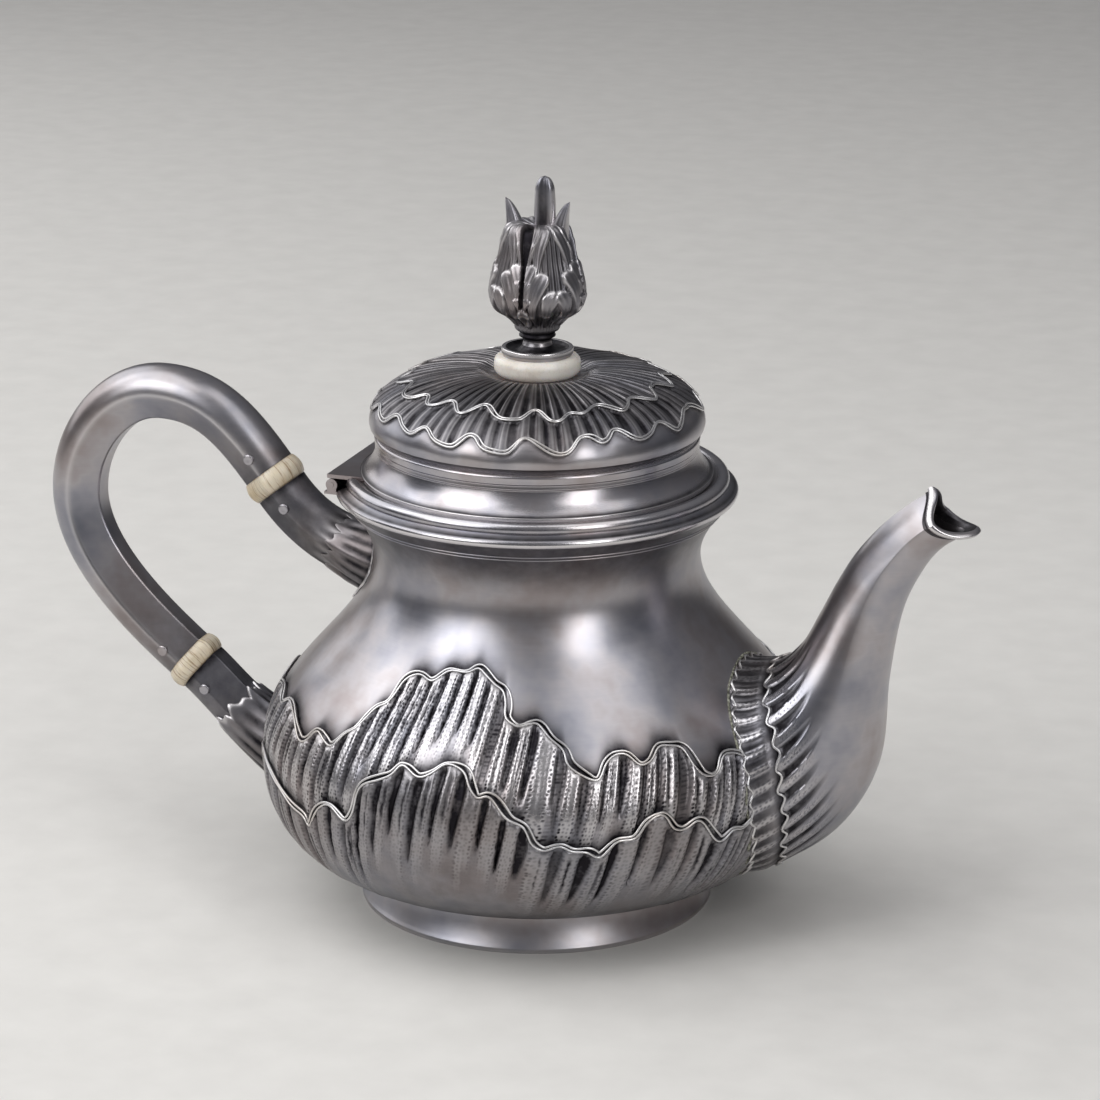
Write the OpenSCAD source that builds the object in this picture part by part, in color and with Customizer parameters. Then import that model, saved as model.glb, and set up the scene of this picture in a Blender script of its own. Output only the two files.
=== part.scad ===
// Silver teapot: a raised baluster body on a ring foot, a swan-neck spout, a hinged domed lid
// with a cast bud finial, and a loop handle held off the pot by two bone insulators.
// Origin: centre of the foot on the table. +X to the spout, +Z up. Millimetres.

/* [Foot] */
// Outer radius of the foot on the table
foot_r = 37.4; // [36:0.2:42]
// Height of the body's flat floor above the table
foot_h = 9.4; // [7:0.2:11]
// Radius of the foot's top edge, where it meets the body
foot_top_r = 35; // [33:0.2:36]
// Thickness of the foot's wall
foot_wall = 1.1; // [0.8:0.1:1.6]
// Height of the foot's plain edge
foot_edge_h = 0.9; // [0.5:0.1:1.5]

/* [Body] */
// Radius of the body's flat floor
floor_r = 36.5; // [36:0.5:39]
// Greatest radius of the belly
belly_r = 57.8; // [55:0.2:62]
// Height at which the belly reaches its full width
belly_z = 31; // [28:0.5:33]
// Height of the full-width band above that
belly_band = 3.5; // [1:0.5:6]
// Radius of the neck at its narrowest
neck_r = 34.2; // [33.6:0.2:36]
// Height of the neck
neck_z = 76; // [73:0.5:78]
// Radius of the flared mouth
mouth_r = 41; // [40.6:0.2:42]
// Height of the flared mouth
mouth_z = 88.3; // [86:0.1:91]
// Thickness of the body's sheet
body_wall = 0.9; // [0.6:0.1:1.4]
// Fullness of the curve from the floor to the belly
floor_fullness = 2.1; // [1.8:0.05:2.6]
// Steepness of the flare from the neck to the mouth
flare_power = 1.85; // [1.4:0.05:2.4]

/* [Mouth moulding] */
// Height of the moulding from the body's edge to the lid's seat
rim_h = 4.2; // [3.8:0.1:5]
// Radius of the rolled bead at the lip
lip_bead_r = 1.1; // [0.9:0.05:1.4]
// Radius of the upper bead of the moulding
moulding_bead_r = 1.5; // [1.2:0.05:1.7]
// Inner radius of the ledge that the lid sits on
seat_in_r = 34.4; // [34.3:0.1:35]
// Thickness of the ledge
seat_t = 1.2; // [1:0.1:1.8]

/* [Lid] */
// Radius of the lid's flange
flange_r = 36.7; // [36.4:0.1:37]
// Thickness of the lid's flange
flange_t = 0.95; // [0.8:0.05:1.2]
// Radius of the hollow moulding above the flange at its narrowest
gallery_r = 33.3; // [32.5:0.1:34]
// Height of the narrowest part above the flange
gallery_h = 6.9; // [5:0.1:8]
// Height from there to the edge of the dome
gallery_flare_h = 2.6; // [2:0.1:3.5]
// Radius of the dome at its edge
dome_r = 34.9; // [34.4:0.1:36]
// Height of the dome above its edge
dome_h = 11; // [9:0.5:14]
// Radius of the crown ring, the highest part of the dome
crown_r = 13; // [11.5:0.5:16]
// Depth of the dip inside the crown ring, where the finial stands
crown_dip = 1.1; // [0.6:0.1:1.5]
// Thickness of the lid's sheet
lid_wall = 0.9; // [0.6:0.1:1.2]
// Outer radius of the ring that enters the mouth
bezel_r = 33.9; // [33:0.1:33.9]
// Depth of that ring below the flange
bezel_depth = 5; // [3:0.5:6]

/* [Finial] */
// Radius of the bone disc
disc_r = 9; // [8:0.1:9.4]
// Height of the bone disc
disc_h = 4.1; // [3:0.1:5]
// Radius of the silver plate on the disc
plate_r = 7.45; // [6.5:0.05:8]
// Height of the plate's edge
plate_h = 1.8; // [1.4:0.1:2.4]
// Height of the plate's stem above its edge
stem_h = 3; // [2:0.1:4]
// Radius of the stem at its waist
stem_r = 3; // [2.6:0.1:3.6]
// Greatest radius of the bud
bud_r = 10; // [8:0.1:11]
// Height of the bud to its shoulder
bud_h = 24.7; // [20:0.1:28]
// Height of the two side tips above the bud's shoulder
tip_h = 2.9; // [1:0.1:4]
// Height of the middle tip above the bud's shoulder
finger_h = 8; // [5:0.1:10]
// Radius of the middle tip
finger_r = 2.4; // [1.8:0.1:2.8]
// Radius of the threaded stud
stud_r = 1.5; // [1.2:0.1:1.8]
// Radius of the washer inside the lid
washer_r = 4.2; // [3.8:0.1:6]
// Width across the nut's corners
nut_w = 6.4; // [5.6:0.1:7]
// Height of the nut
nut_h = 2.4; // [2:0.1:3]

/* [Lid hinge] */
// Length of the hinge barrel
hinge_w = 38; // [30:1:38]
// Outer radius of the barrel
barrel_r = 1.27; // [1.15:0.01:1.35]
// Radius of the hinge pin
hinge_pin_r = 0.55; // [0.45:0.01:0.65]
// Number of knuckles
knuckles = 5; // [3:2:7]
// Side gap between two knuckles
knuckle_gap = 0.2; // [0.1:0.05:0.4]
// Thickness of the lid's hinge leaf
leaf_t = 0.8; // [0.6:0.05:0.9]

/* [Handle] */
// Distance of the grip's centreline beyond the belly
handle_reach = 47.9; // [44:0.5:52]
// Height of the grip's centreline at the top of the arch
handle_top_z = 102.7; // [98:0.5:108]
// Height at which the grip stands out furthest
handle_mid_z = 78.5; // [74:0.5:84]
// Half width of the grip, from side to side
grip_half_w = 5.9; // [5:0.1:7]
// Depth of the rounded outer side of the grip
grip_out = 5.5; // [5:0.1:7]
// Depth of the faceted inner side of the grip
grip_in = 5.7; // [5:0.1:7]
// Half width of the narrow flat along the grip's inner side
grip_flat = 2.2; // [1.5:0.1:3]
// Wall of the grip and of the sockets
grip_wall = 0.9; // [0.6:0.1:1.3]
// Share by which the grip is fuller halfway along
grip_swell = 0.03; // [0:0.01:0.12]

/* [Insulators] */
// Distance of the upper insulator's centre beyond the neck
upper_reach = 24.9; // [23:0.1:28]
// Height of the upper insulator's centre
upper_z = 85.5; // [83:0.1:87]
// Slope of the handle at the upper insulator, in degrees
upper_tilt = 52; // [46:1:56]
// Thickness of the upper insulator
upper_t = 4.8; // [4:0.1:6]
// Distance of the lower insulator's centre beyond the belly
lower_reach = 21.2; // [19:0.1:24]
// Height of the lower insulator's centre
lower_z = 42; // [40:0.1:45]
// Slope of the handle at the lower insulator, in degrees
lower_tilt = 38.5; // [34:0.5:43]
// Thickness of the lower insulator
lower_t = 4.4; // [3.6:0.1:5.5]
// Length of each tenon
tenon_l = 7.5; // [6.5:0.1:9]
// Share by which the insulators bulge past the grip
bone_bulge = 0.06; // [0:0.005:0.08]
// Radius of the cross pins
pin_r = 1.1; // [0.8:0.05:1.3]
// Distance of each cross pin from the insulator's face
pin_inset = 4; // [3:0.1:4.5]

/* [Sockets] */
// Height at which the upper socket's centreline meets the neck
upper_root_z = 71.5; // [69:0.5:73]
// Half height of the upper socket at its root
upper_root_h = 8; // [6.5:0.1:9]
// Half width of the upper socket at its root
upper_root_w = 11.5; // [8:0.1:13]
// Height at which the lower socket's centreline meets the belly
lower_root_z = 26; // [24:0.5:29]
// Half height of the lower socket at its root
lower_root_h = 11; // [9:0.1:13]
// Half width of the lower socket at its root
lower_root_w = 8; // [6.5:0.1:10]
// Thickness of the leaves laid over the sockets
leaf_overlay_t = 0.5; // [0.4:0.05:0.9]

/* [Spout] */
// Half width of the spout at its root
spout_root_w = 20.5; // [17:0.5:22]
// Half width of the spout at its mouth
spout_mouth_w = 5.5; // [4.8:0.1:6.5]
// Distance of the lip's tip beyond the belly
spout_reach = 36.2; // [34:0.1:39]
// Height of the lip's tip
spout_tip_z = 89.8; // [87:0.1:92]
// Height of the hood above the lip's tip
hood_h = 7.7; // [6:0.1:9]
// Thickness of the spout's wall
spout_wall = 0.9; // [0.6:0.1:1.2]
// Thickness of the applied edge round the mouth
spout_lip_t = 0.7; // [0.4:0.1:1]
// Width of the fluted collar round the spout's root
collar_w = 6.5; // [5:0.5:8]
// Thickness of the collar at the body
collar_t = 1.7; // [1.2:0.1:2.2]
// Radius of the strainer's holes
strainer_hole_r = 1.3; // [0.9:0.1:1.6]
// Spacing of the strainer's holes
strainer_pitch = 5.2; // [4.4:0.1:7]

/* [Fits] */
// Gap round the lid's flange
flange_gap = 0.35; // [0.25:0.05:0.5]
// Gap under the resting lid
rest_gap = 0.05; // [0.02:0.01:0.1]
// Gap between pinned or stacked pieces
solder_gap = 0.02; // [0.01:0.01:0.05]
// Gap between a soldered root and the body, which clears the flats of its outline
root_gap = 0.3; // [0.2:0.05:0.4]
// Gap under an applied leaf or collar
overlay_gap = 0.12; // [0.08:0.01:0.2]
// Running gap round the hinge pin
pin_gap = 0.04; // [0.02:0.01:0.08]
// Gap between a moving piece and what it passes
swing_gap = 0.2; // [0.15:0.05:0.3]

/* [Hidden] */
$fn = 96;

silver = [0.78, 0.76, 0.74];
bone = [0.92, 0.87, 0.76];

// Steps used where a curve is drawn by a formula
floor_steps = 14;
wall_steps = 26;
flare_steps = 10;
ring_pts = 24;
spout_pts = 32;
spout_rings = 22;
solve_steps = 24;
slope_step = 0.1;
past = 60; // length of a cutter that runs right out of the part

// ---- Curves ----

function lerp(a, b, t) = a + (b - a) * t;
function reversed(v) = [for (i = [len(v) - 1 : -1 : 0]) v[i]];
function unit(v) = v / norm(v);
// Direction that leans down by angle a, as [x, z]
function downhill(a) = [cos(a), -sin(a)];

// Cubic Bezier through p[0] and p[3]
function bez(p, t) =
    p[0] * pow(1 - t, 3) + p[1] * 3 * t * pow(1 - t, 2) + p[2] * 3 * t * t * (1 - t) + p[3] * pow(t, 3);
function bez_dir(p, t) =
    unit((p[1] - p[0]) * pow(1 - t, 2) + (p[2] - p[1]) * 2 * t * (1 - t) + (p[3] - p[2]) * t * t);

// Smooth curve through a list of values, u running from 0 to len(v) - 1
function thread(v, u) =
    let (
        i = min(floor(u), len(v) - 2),
        t = u - i,
        b = v[i],
        c = v[i + 1],
        a = i > 0 ? v[i - 1] : 2 * b - c,
        d = i < len(v) - 2 ? v[i + 2] : 2 * c - b
    )
    b + (c - a) * t / 2 + (2 * a - 5 * b + 4 * c - d) * t * t / 2 + (3 * b - a - 3 * c + d) * pow(t, 3) / 2;

// Value between out and in at which g changes from above zero to below it
function solve(g, out, in, n = solve_steps) =
    let (mid = (out + in) / 2)
    n == 0 ? mid : g(mid) > 0 ? solve(g, mid, in, n - 1) : solve(g, out, mid, n - 1);

// Skin over a list of rings with equal numbers of points. A looped skin closes on itself.
module skin(rings, looped = false) {
    n = len(rings[0]);
    m = len(rings);
    pairs = looped ? m : m - 1;
    sides = [
        for (j = [0 : pairs - 1], i = [0 : n - 1])
            let (k = (i + 1) % n, a = j * n, b = ((j + 1) % m) * n)
            each [[a + i, b + k, b + i], [a + i, a + k, b + k]]
    ];
    caps = looped ? [] : [[for (i = [n - 1 : -1 : 0]) i], [for (i = [0 : n - 1]) (m - 1) * n + i]];
    polyhedron([for (r = rings) each r], concat(sides, caps));
}

// ---- Body ----

belly_top_z = belly_z + belly_band;

// Outer radius of the body at height z
function body_r(z) =
    z < belly_z
        ? floor_r + (belly_r - floor_r)
            * pow(max(0, 1 - pow(max(0, belly_z - z) / (belly_z - foot_h), floor_fullness)), 1 / floor_fullness)
    : z < belly_top_z ? belly_r
    : z < neck_z
        ? lerp(neck_r, belly_r, (1 + cos(180 * (z - belly_top_z) / (neck_z - belly_top_z))) / 2)
    : neck_r + (mouth_r - neck_r) * pow((z - neck_z) / (mouth_z - neck_z), flare_power);

// How fast the outline widens at height z
function body_slope(z) = (body_r(z + slope_step) - body_r(z - slope_step)) / (2 * slope_step);
// Distance of a point outside the seats on the body's wall, square to the wall
function off_body(p) = (norm([p.x, p.y]) - body_r(p.z)) / sqrt(1 + pow(body_slope(p.z), 2)) - root_gap;

floor_curve = [
    for (i = [0 : floor_steps])
        let (z = belly_z - (belly_z - foot_h) * pow(cos(90 * i / floor_steps), 2 / floor_fullness))
        [body_r(z), z]
];
wall_curve = [
    for (i = [0 : wall_steps])
        let (z = lerp(belly_top_z, neck_z, i / wall_steps))
        [body_r(z), z]
];
flare_curve = [
    for (i = [1 : flare_steps])
        let (z = lerp(neck_z, mouth_z, i / flare_steps))
        [body_r(z), z]
];
body_curve = concat(floor_curve, wall_curve, flare_curve);

// The curve moved inwards by d, square to itself
function inset(curve, d) = [
    for (i = [1 : len(curve) - 2])
        let (t = unit(curve[i + 1] - curve[i - 1]))
        curve[i] + d * [-t[1], t[0]]
];

mouth_slope = flare_power * (mouth_r - neck_r) / (mouth_z - neck_z);
mouth_in_r = mouth_r - body_wall * sqrt(1 + pow(mouth_slope, 2));

// ---- Spout ----
// Stations along the spout: the inner edge and the outer edge as [distance beyond the belly, height].
// The first lies inside the body and the last is the mouth.

hood_back = 8.9; // the hood's tip stands this far behind the lip's tip
spout_inner = [
    [-16, 54.5], [-6, 56.3], [0.2, 61.8], [4.2, 69.3], [7.4, 76], [11.2, 82.5], [16.2, 88.6], [21.5, 93.5],
    [spout_reach - hood_back, spout_tip_z + hood_h]
];
spout_outer = [
    [-14, 12], [-3, 14.3], [9, 22.6], [16.7, 36.5], [18.4, 55], [21, 70.5], [25.2, 80.2], [29.8, 86],
    [spout_reach, spout_tip_z]
];
// Share of the way from the mouth's half width to the root's at each station
spout_spread = [1.05, 1, 0.78, 0.52, 0.29, 0.14, 0.06, 0.02, 0];
spout_end = len(spout_inner) - 1;
// The sides of the mouth lie back by this share of a station
mouth_notch = 0.5;
// Share of a station covered by the applied edge
lip_share = 0.34;
// Share of a station left as the seam between them
lip_seam = 0.015;

// Point on the spout at station u and angle a (0 = outer edge), off millimetres outside its surface
function spout_pt(u, a, off = 0) =
    let (
        inner = thread(spout_inner, u),
        outer = thread(spout_outer, u),
        half = (outer - inner) / 2,
        mid = (outer + inner) / 2,
        w = lerp(spout_mouth_w, spout_root_w, thread(spout_spread, u)),
        p = mid + unit(half) * (norm(half) + off) * cos(a)
    )
    [belly_r + p[0], (w + off) * sin(a), p[1]];

function spout_angle(i) = 360 * i / spout_pts;
// Station at which the spout leaves the body
function spout_root(a, off = 0) = solve(function(u) off_body(spout_pt(u, a, off)), 3, 0);
// Station at which the mouth's edge lies
function spout_mouth(a) = spout_end - mouth_notch * pow(sin(a), 2);
// Station at which the collar ends
function collar_end(a) = spout_root(a) + collar_w / station_l(a);
// Length of the spout's surface over one station beside the root
function station_l(a) = let (u = spout_root(a)) norm(spout_pt(u + 0.5, a) - spout_pt(u, a)) * 2;

// Rings from station from(a) to station to(a), lying off(t) outside the surface
function spout_rings_of(from, to, off, n) = [
    for (j = [0 : n])
        [
            for (i = [0 : spout_pts - 1])
                let (a = spout_angle(i))
                spout_pt(lerp(from(a), to(a), j / n), a, off(j / n))
        ]
];

// ---- Handle ----

upper_c = [-(neck_r + upper_reach), upper_z];
lower_c = [-(belly_r + lower_reach), lower_z];
upper_dir = downhill(upper_tilt);
lower_dir = downhill(lower_tilt);
grip_start = upper_c - upper_dir * upper_t / 2;
grip_finish = lower_c - lower_dir * lower_t / 2;
grip_top = [-(belly_r + 27.2), handle_top_z];
grip_far = [-(belly_r + handle_reach), handle_mid_z];
// Roundness of a quarter of the arch
quarter = 0.52;
grip_paths = [
    [
        grip_start,
        grip_start - upper_dir * 13,
        grip_top + [10.5, 0],
        grip_top
    ],
    [
        grip_top,
        grip_top + [quarter * (grip_far[0] - grip_top[0]), 0],
        grip_far + [0, quarter * (grip_top[1] - grip_far[1])],
        grip_far
    ],
    [
        grip_far,
        grip_far - [0, 14],
        grip_finish - lower_dir * 14,
        grip_finish
    ]
];
// Rings along each stretch of the grip
grip_steps = [9, 9, 10];

// Section of the grip at point i of ring_pts, as [outwards, sideways], inset by d
function grip_section(i, d = 0) =
    let (half = ring_pts / 2, w = grip_half_w - d)
    i <= half
        ? [(grip_out - d) * sin(180 * i / half), w * cos(180 * i / half)]
        : let (y = -w + 2 * w * (i - half) / half)
            [-(grip_in - d) * min(1, (w - abs(y)) / (grip_half_w - grip_flat)), y];
// Oval section of half height h and half width w
function oval_section(i, h, w, d = 0) =
    [(h - d) * sin(360 * i / ring_pts), (w - d) * cos(360 * i / ring_pts)];

// Section point s placed at point c of the handle's plane, where the handle runs along dir
function placed(c, dir, s) =
    let (p = c + s[0] * [dir[1], -dir[0]])
    [p[0], s[1], p[1]];

function grip_ring(path, t, d, swell) = [
    for (i = [0 : ring_pts - 1])
        placed(bez(path, t), bez_dir(path, t), grip_section(i, d) * swell)
];
// How full the grip is at stretch k
function fullness(k, t) = 1 + grip_swell * sin(180 * (k + t) / 3);
function grip_rings(d) = [
    for (k = [0 : 2], j = [(k == 0 ? 0 : 1) : grip_steps[k]])
        let (t = j / grip_steps[k])
        grip_ring(grip_paths[k], t, d, fullness(k, t))
];

// ---- Sockets ----

upper_path = let (p = upper_c + upper_dir * upper_t / 2) [
    p,
    p + upper_dir * 8,
    [-(neck_r + 11.8), upper_root_z],
    [-neck_r + 4.2, upper_root_z - 1.5]
];
lower_path = let (p = lower_c + lower_dir * lower_t / 2) [
    p,
    p + lower_dir * 8,
    [-(belly_r + 6.2), lower_root_z],
    [-belly_r + 7.8, lower_root_z - 2.5]
];
// Half height, half width and the side that the grip's rounded face lies on
upper_root = [upper_root_h, upper_root_w, -1];
lower_root = [lower_root_h, lower_root_w, 1];
// How late along a socket its section spreads
spread_power = 4;

// Point i of a socket's ring at t, off millimetres outside its surface. The section is the grip's where the
// socket starts and an oval at its root.
function socket_pt(path, root, t, i, off = 0) =
    placed(
        bez(path, t), bez_dir(path, t),
        root[2] * lerp(grip_section(i, -off), oval_section(i, root[0], root[1], -off), pow(t, spread_power))
    );
function socket_end(path, root, i, off = 0) =
    solve(function(t) off_body(socket_pt(path, root, t, i, off)), 0.2, 1);
// Rings from t = from to the body, off(s, i) outside the surface, with s from 0 to 1
function socket_rings(path, root, from, off, n) = [
    for (j = [0 : n])
        [
            for (i = [0 : ring_pts - 1])
                socket_pt(path, root, lerp(from(i), socket_end(path, root, i, off(1, i)), j / n), i, off(j / n, i))
        ]
];

// ---- Insulators ----

// Ring across an insulator's axis, s millimetres from its centre towards the pot. Side is 1 where the
// grip's rounded face lies to the right of that direction, and -1 where it lies to the left.
function bone_ring(c, dir, side, s, d, swell) = [
    for (i = [0 : ring_pts - 1])
        placed(c + dir * s, dir, side * grip_section(i, d) * swell)
];
// Tenons are straight, so they are clear of the curved tubes by this much more than the solder gap
tenon_slack = 0.9;
tenon_taper = 0.97;
function bone_rings(c, dir, side, t) =
    let (
        slim = grip_wall + tenon_slack,
        face = t / 2 - solder_gap,
        tip = t / 2 + tenon_l,
        steps = 6,
        tenon = function(s, swell) bone_ring(c, dir, side, s, slim, swell)
    )
    concat(
        [tenon(-tip, tenon_taper), tenon(-face, 1)],
        [
            for (j = [0 : steps])
                bone_ring(c, dir, side, lerp(-face, face, j / steps), 0, 1 + bone_bulge * sin(180 * j / steps))
        ],
        [tenon(face, 1), tenon(tip, tenon_taper)]
    );

// ---- Lid ----

seat_z = mouth_z + rim_h;
seat_out_r = flange_r + flange_gap;
moulding_r = seat_out_r + moulding_bead_r;
moulding_z = seat_z - 0.7;
rim_in_r = seat_out_r - 1.25;
flange_z = seat_z + rest_gap;
flange_top = flange_z + flange_t;
gallery_z = flange_top + gallery_h;
dome_z = gallery_z + gallery_flare_h;
dome_edge_h = 1;
crown_z = dome_z + dome_edge_h + dome_h;
dish_z = crown_z - crown_dip;
dish_r = disc_r + 0.3;
dome_steps = 18;

// ---- Finial ----

plate_z = dish_z + disc_h;
bud_z = plate_z + plate_h + stem_h;
shoulder_z = bud_z + bud_h;
stud_top = bud_z + 4;
washer_t = 0.8;
washer_z = dish_z - lid_wall - washer_t;
nut_z = washer_z - nut_h;
stud_z = nut_z - 0.8;

// ---- Hinge ----

hinge_x = -(seat_out_r + barrel_r + swing_gap);
hinge_z = seat_z - barrel_r - 0.03;
leaf_z = flange_top - leaf_t;
leaf_back = 0.9; // the leaf reaches this far behind the hinge's axis
notch_z = mouth_z + 0.9;
bracket_top = hinge_z - barrel_r - swing_gap;
knuckle_l = hinge_w / knuckles;
notch_w = hinge_w + 2 * swing_gap;

// Draws its children at every knuckle of one leaf: side 0 is the pot's, side 1 the lid's
module at_knuckles(side) {
    for (k = [side : 2 : knuckles - 1])
        translate([hinge_x, -hinge_w / 2 + k * knuckle_l + knuckle_gap / 2, hinge_z]) children();
}
module knuckle_rod(r) {
    rotate([-90, 0, 0]) cylinder(r = r, h = knuckle_l - knuckle_gap);
}
// Box across the hinge's length, from [x0, z0] to [x1, z1]
module hinge_box(x0, z0, x1, z1, w) {
    translate([x0, -w / 2, z0]) cube([x1 - x0, w, z1 - z0]);
}

// ---- Pieces of the pot ----

module body_shell() {
    inner = inset(body_curve, body_wall);
    color(silver) difference() {
        rotate_extrude()
            polygon(concat(
                [[0, foot_h]], body_curve, [[mouth_in_r, mouth_z]], reversed(inner), [[0, foot_h + body_wall]]
            ));
        strainer_holes();
    }
}

// Rows of holes through the wall behind the spout
module strainer_holes() {
    row_h = strainer_pitch * sin(60);
    mid_z = (spout_inner[0][1] + spout_outer[0][1]) / 2;
    for (row = [-2 : 2], k = [-2 : 2])
        let (y = (k + (row % 2 == 0 ? 0 : 0.5)) * strainer_pitch)
        if (norm([row * row_h, y]) < 2.3 * strainer_pitch)
            translate([0, y, mid_z + row * row_h])
                rotate([0, 90, 0]) cylinder(r = strainer_hole_r, h = belly_r + 1, $fn = 24);
}

module foot_ring() {
    steps = 8;
    function foot_curve(z) = foot_top_r + (foot_r - foot_top_r) * pow((foot_h - z) / (foot_h - foot_edge_h), 2);
    outer = [for (i = [1 : steps]) let (z = lerp(foot_edge_h, foot_h, i / steps)) [foot_curve(z), z]];
    color(silver) rotate_extrude()
        polygon(concat(
            [[foot_r, 0], [foot_r, foot_edge_h]],
            outer,
            [for (p = reversed(outer)) p - [foot_wall, 0]],
            [[foot_r - foot_wall * 2, foot_edge_h], [foot_r - foot_wall * 2, 0]]
        ));
}

module mouth_rim() {
    lip_c = [mouth_r + lip_bead_r * 0.85 - lip_bead_r, mouth_z + lip_bead_r];
    color(silver) difference() {
        rotate_extrude() union() {
            translate(lip_c) circle(r = lip_bead_r, $fn = 32);
            translate([moulding_r, moulding_z]) circle(r = moulding_bead_r, $fn = 32);
            polygon([
                [rim_in_r, mouth_z], [mouth_r, mouth_z], lip_c, [moulding_r, moulding_z],
                [seat_out_r, seat_z], [seat_in_r, seat_z], [seat_in_r, seat_z - seat_t],
                [rim_in_r, seat_z - 2 * seat_t]
            ]);
        }
        difference() {
            hinge_box(-mouth_r - past, notch_z, 0, seat_z + past, notch_w);
            translate([0, 0, mouth_z]) cylinder(r = seat_out_r, h = past + 2 * rim_h);
        }
    }
}

module spout() {
    finish = function(a) spout_mouth(a) - lip_share;
    outer = spout_rings_of(function(a) spout_root(a), finish, function(t) 0, spout_rings);
    inner = spout_rings_of(
        function(a) spout_root(a, -spout_wall), finish, function(t) -spout_wall, spout_rings
    );
    color(silver) skin(concat(outer, reversed(inner)), true);
}

module spout_lip() {
    steps = 4;
    start = function(a) spout_mouth(a) - lip_share + lip_seam;
    finish = function(a) spout_mouth(a);
    // Thin where it meets the spout, thick at the mouth's edge
    swell = function(t) spout_lip_t * sin(90 * min(1, t * 1.6));
    outer = spout_rings_of(start, finish, swell, steps);
    inner = spout_rings_of(start, finish, function(t) -spout_wall, steps);
    color(silver) skin(concat(outer, reversed(inner)), true);
}

module spout_collar() {
    steps = 6;
    finish = function(a) collar_end(a);
    swell = function(t) overlay_gap + lerp(collar_t, collar_t * 0.45, t);
    outer = spout_rings_of(function(a) spout_root(a, swell(0)), finish, swell, steps);
    inner = spout_rings_of(
        function(a) spout_root(a, overlay_gap), finish, function(t) overlay_gap, steps
    );
    color(silver) skin(concat(outer, reversed(inner)), true);
}

// Tube from an insulator to the body
module socket(path, root) {
    steps = 12;
    outer = socket_rings(path, root, function(i) 0, function(s, i) 0, steps);
    inner = socket_rings(path, root, function(i) 0, function(s, i) -grip_wall, steps);
    skin(concat(outer, reversed(inner)), true);
}

// Leaf laid over a socket from t = start to the body, with a scalloped edge
module socket_leaf(path, root, start, scallops) {
    steps = 6;
    lobe = function(i) abs(sin(scallops * 180 * i / ring_pts));
    edge = function(i) start - 0.06 * lobe(i);
    swell = function(s, i) overlay_gap + leaf_overlay_t * lerp(0.5, 1, s) * (1 + 0.25 * lobe(i));
    outer = socket_rings(path, root, edge, swell, steps);
    inner = socket_rings(path, root, edge, function(s, i) overlay_gap, steps);
    skin(concat(outer, reversed(inner)), true);
}

// Hole or rivet across the handle, at s millimetres from an insulator's centre
module cross_rod(c, dir, side, s, r, half_l) {
    p = c + dir * s + side * pin_rise * [dir[1], -dir[0]];
    translate([p[0], -half_l, p[1]]) rotate([-90, 0, 0]) cylinder(r = r, h = 2 * half_l, $fn = 32);
}
upper_pin_s = upper_t / 2 + pin_inset;
lower_pin_s = lower_t / 2 + pin_inset;
pin_rise = 0.3; // the pins lie this far towards the grip's rounded side
pin_half_l = grip_half_w + 0.25;

module handle_grip() {
    color(silver) difference() {
        skin(concat(grip_rings(0), reversed(grip_rings(grip_wall))), true);
        cross_rod(upper_c, upper_dir, -1, -upper_pin_s, pin_r, past);
        cross_rod(lower_c, lower_dir, 1, -lower_pin_s, pin_r, past);
    }
}
module upper_socket() {
    color(silver) difference() {
        socket(upper_path, upper_root);
        cross_rod(upper_c, upper_dir, -1, upper_pin_s, pin_r, past);
    }
}
module lower_socket() {
    color(silver) difference() {
        socket(lower_path, lower_root);
        cross_rod(lower_c, lower_dir, 1, lower_pin_s, pin_r, past);
    }
}
module upper_socket_leaf() {
    color(silver) socket_leaf(upper_path, upper_root, 0.62, 8);
}
module lower_socket_leaf() {
    color(silver) socket_leaf(lower_path, lower_root, 0.42, 8);
}
module upper_insulator() {
    color(bone) difference() {
        skin(bone_rings(upper_c, upper_dir, -1, upper_t));
        cross_rod(upper_c, upper_dir, -1, -upper_pin_s, pin_r, past);
        cross_rod(upper_c, upper_dir, -1, upper_pin_s, pin_r, past);
    }
}
module lower_insulator() {
    color(bone) difference() {
        skin(bone_rings(lower_c, lower_dir, 1, lower_t));
        cross_rod(lower_c, lower_dir, 1, -lower_pin_s, pin_r, past);
        cross_rod(lower_c, lower_dir, 1, lower_pin_s, pin_r, past);
    }
}
module upper_grip_pin() {
    color(silver) cross_rod(upper_c, upper_dir, -1, -upper_pin_s, pin_r - solder_gap, pin_half_l);
}
module upper_socket_pin() {
    color(silver) cross_rod(upper_c, upper_dir, -1, upper_pin_s, pin_r - solder_gap, pin_half_l);
}
module lower_grip_pin() {
    color(silver) cross_rod(lower_c, lower_dir, 1, -lower_pin_s, pin_r - solder_gap, pin_half_l);
}
module lower_socket_pin() {
    color(silver) cross_rod(lower_c, lower_dir, 1, lower_pin_s, pin_r - solder_gap, pin_half_l);
}

// Pot's half of the hinge: a plate on the notched moulding, and its knuckles
module hinge_bracket() {
    color(silver) difference() {
        union() {
            hinge_box(hinge_x - 1.6, notch_z, -seat_out_r - swing_gap, bracket_top, hinge_w);
            intersection() {
                hinge_box(-mouth_r - past, notch_z, -seat_out_r - swing_gap, bracket_top, hinge_w);
                cylinder(r = mouth_r, h = 2 * mouth_z);
            }
            at_knuckles(0) knuckle_rod(barrel_r);
            at_knuckles(0) hinge_web();
        }
        hinge_bore(hinge_pin_r + solder_gap);
    }
}
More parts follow.
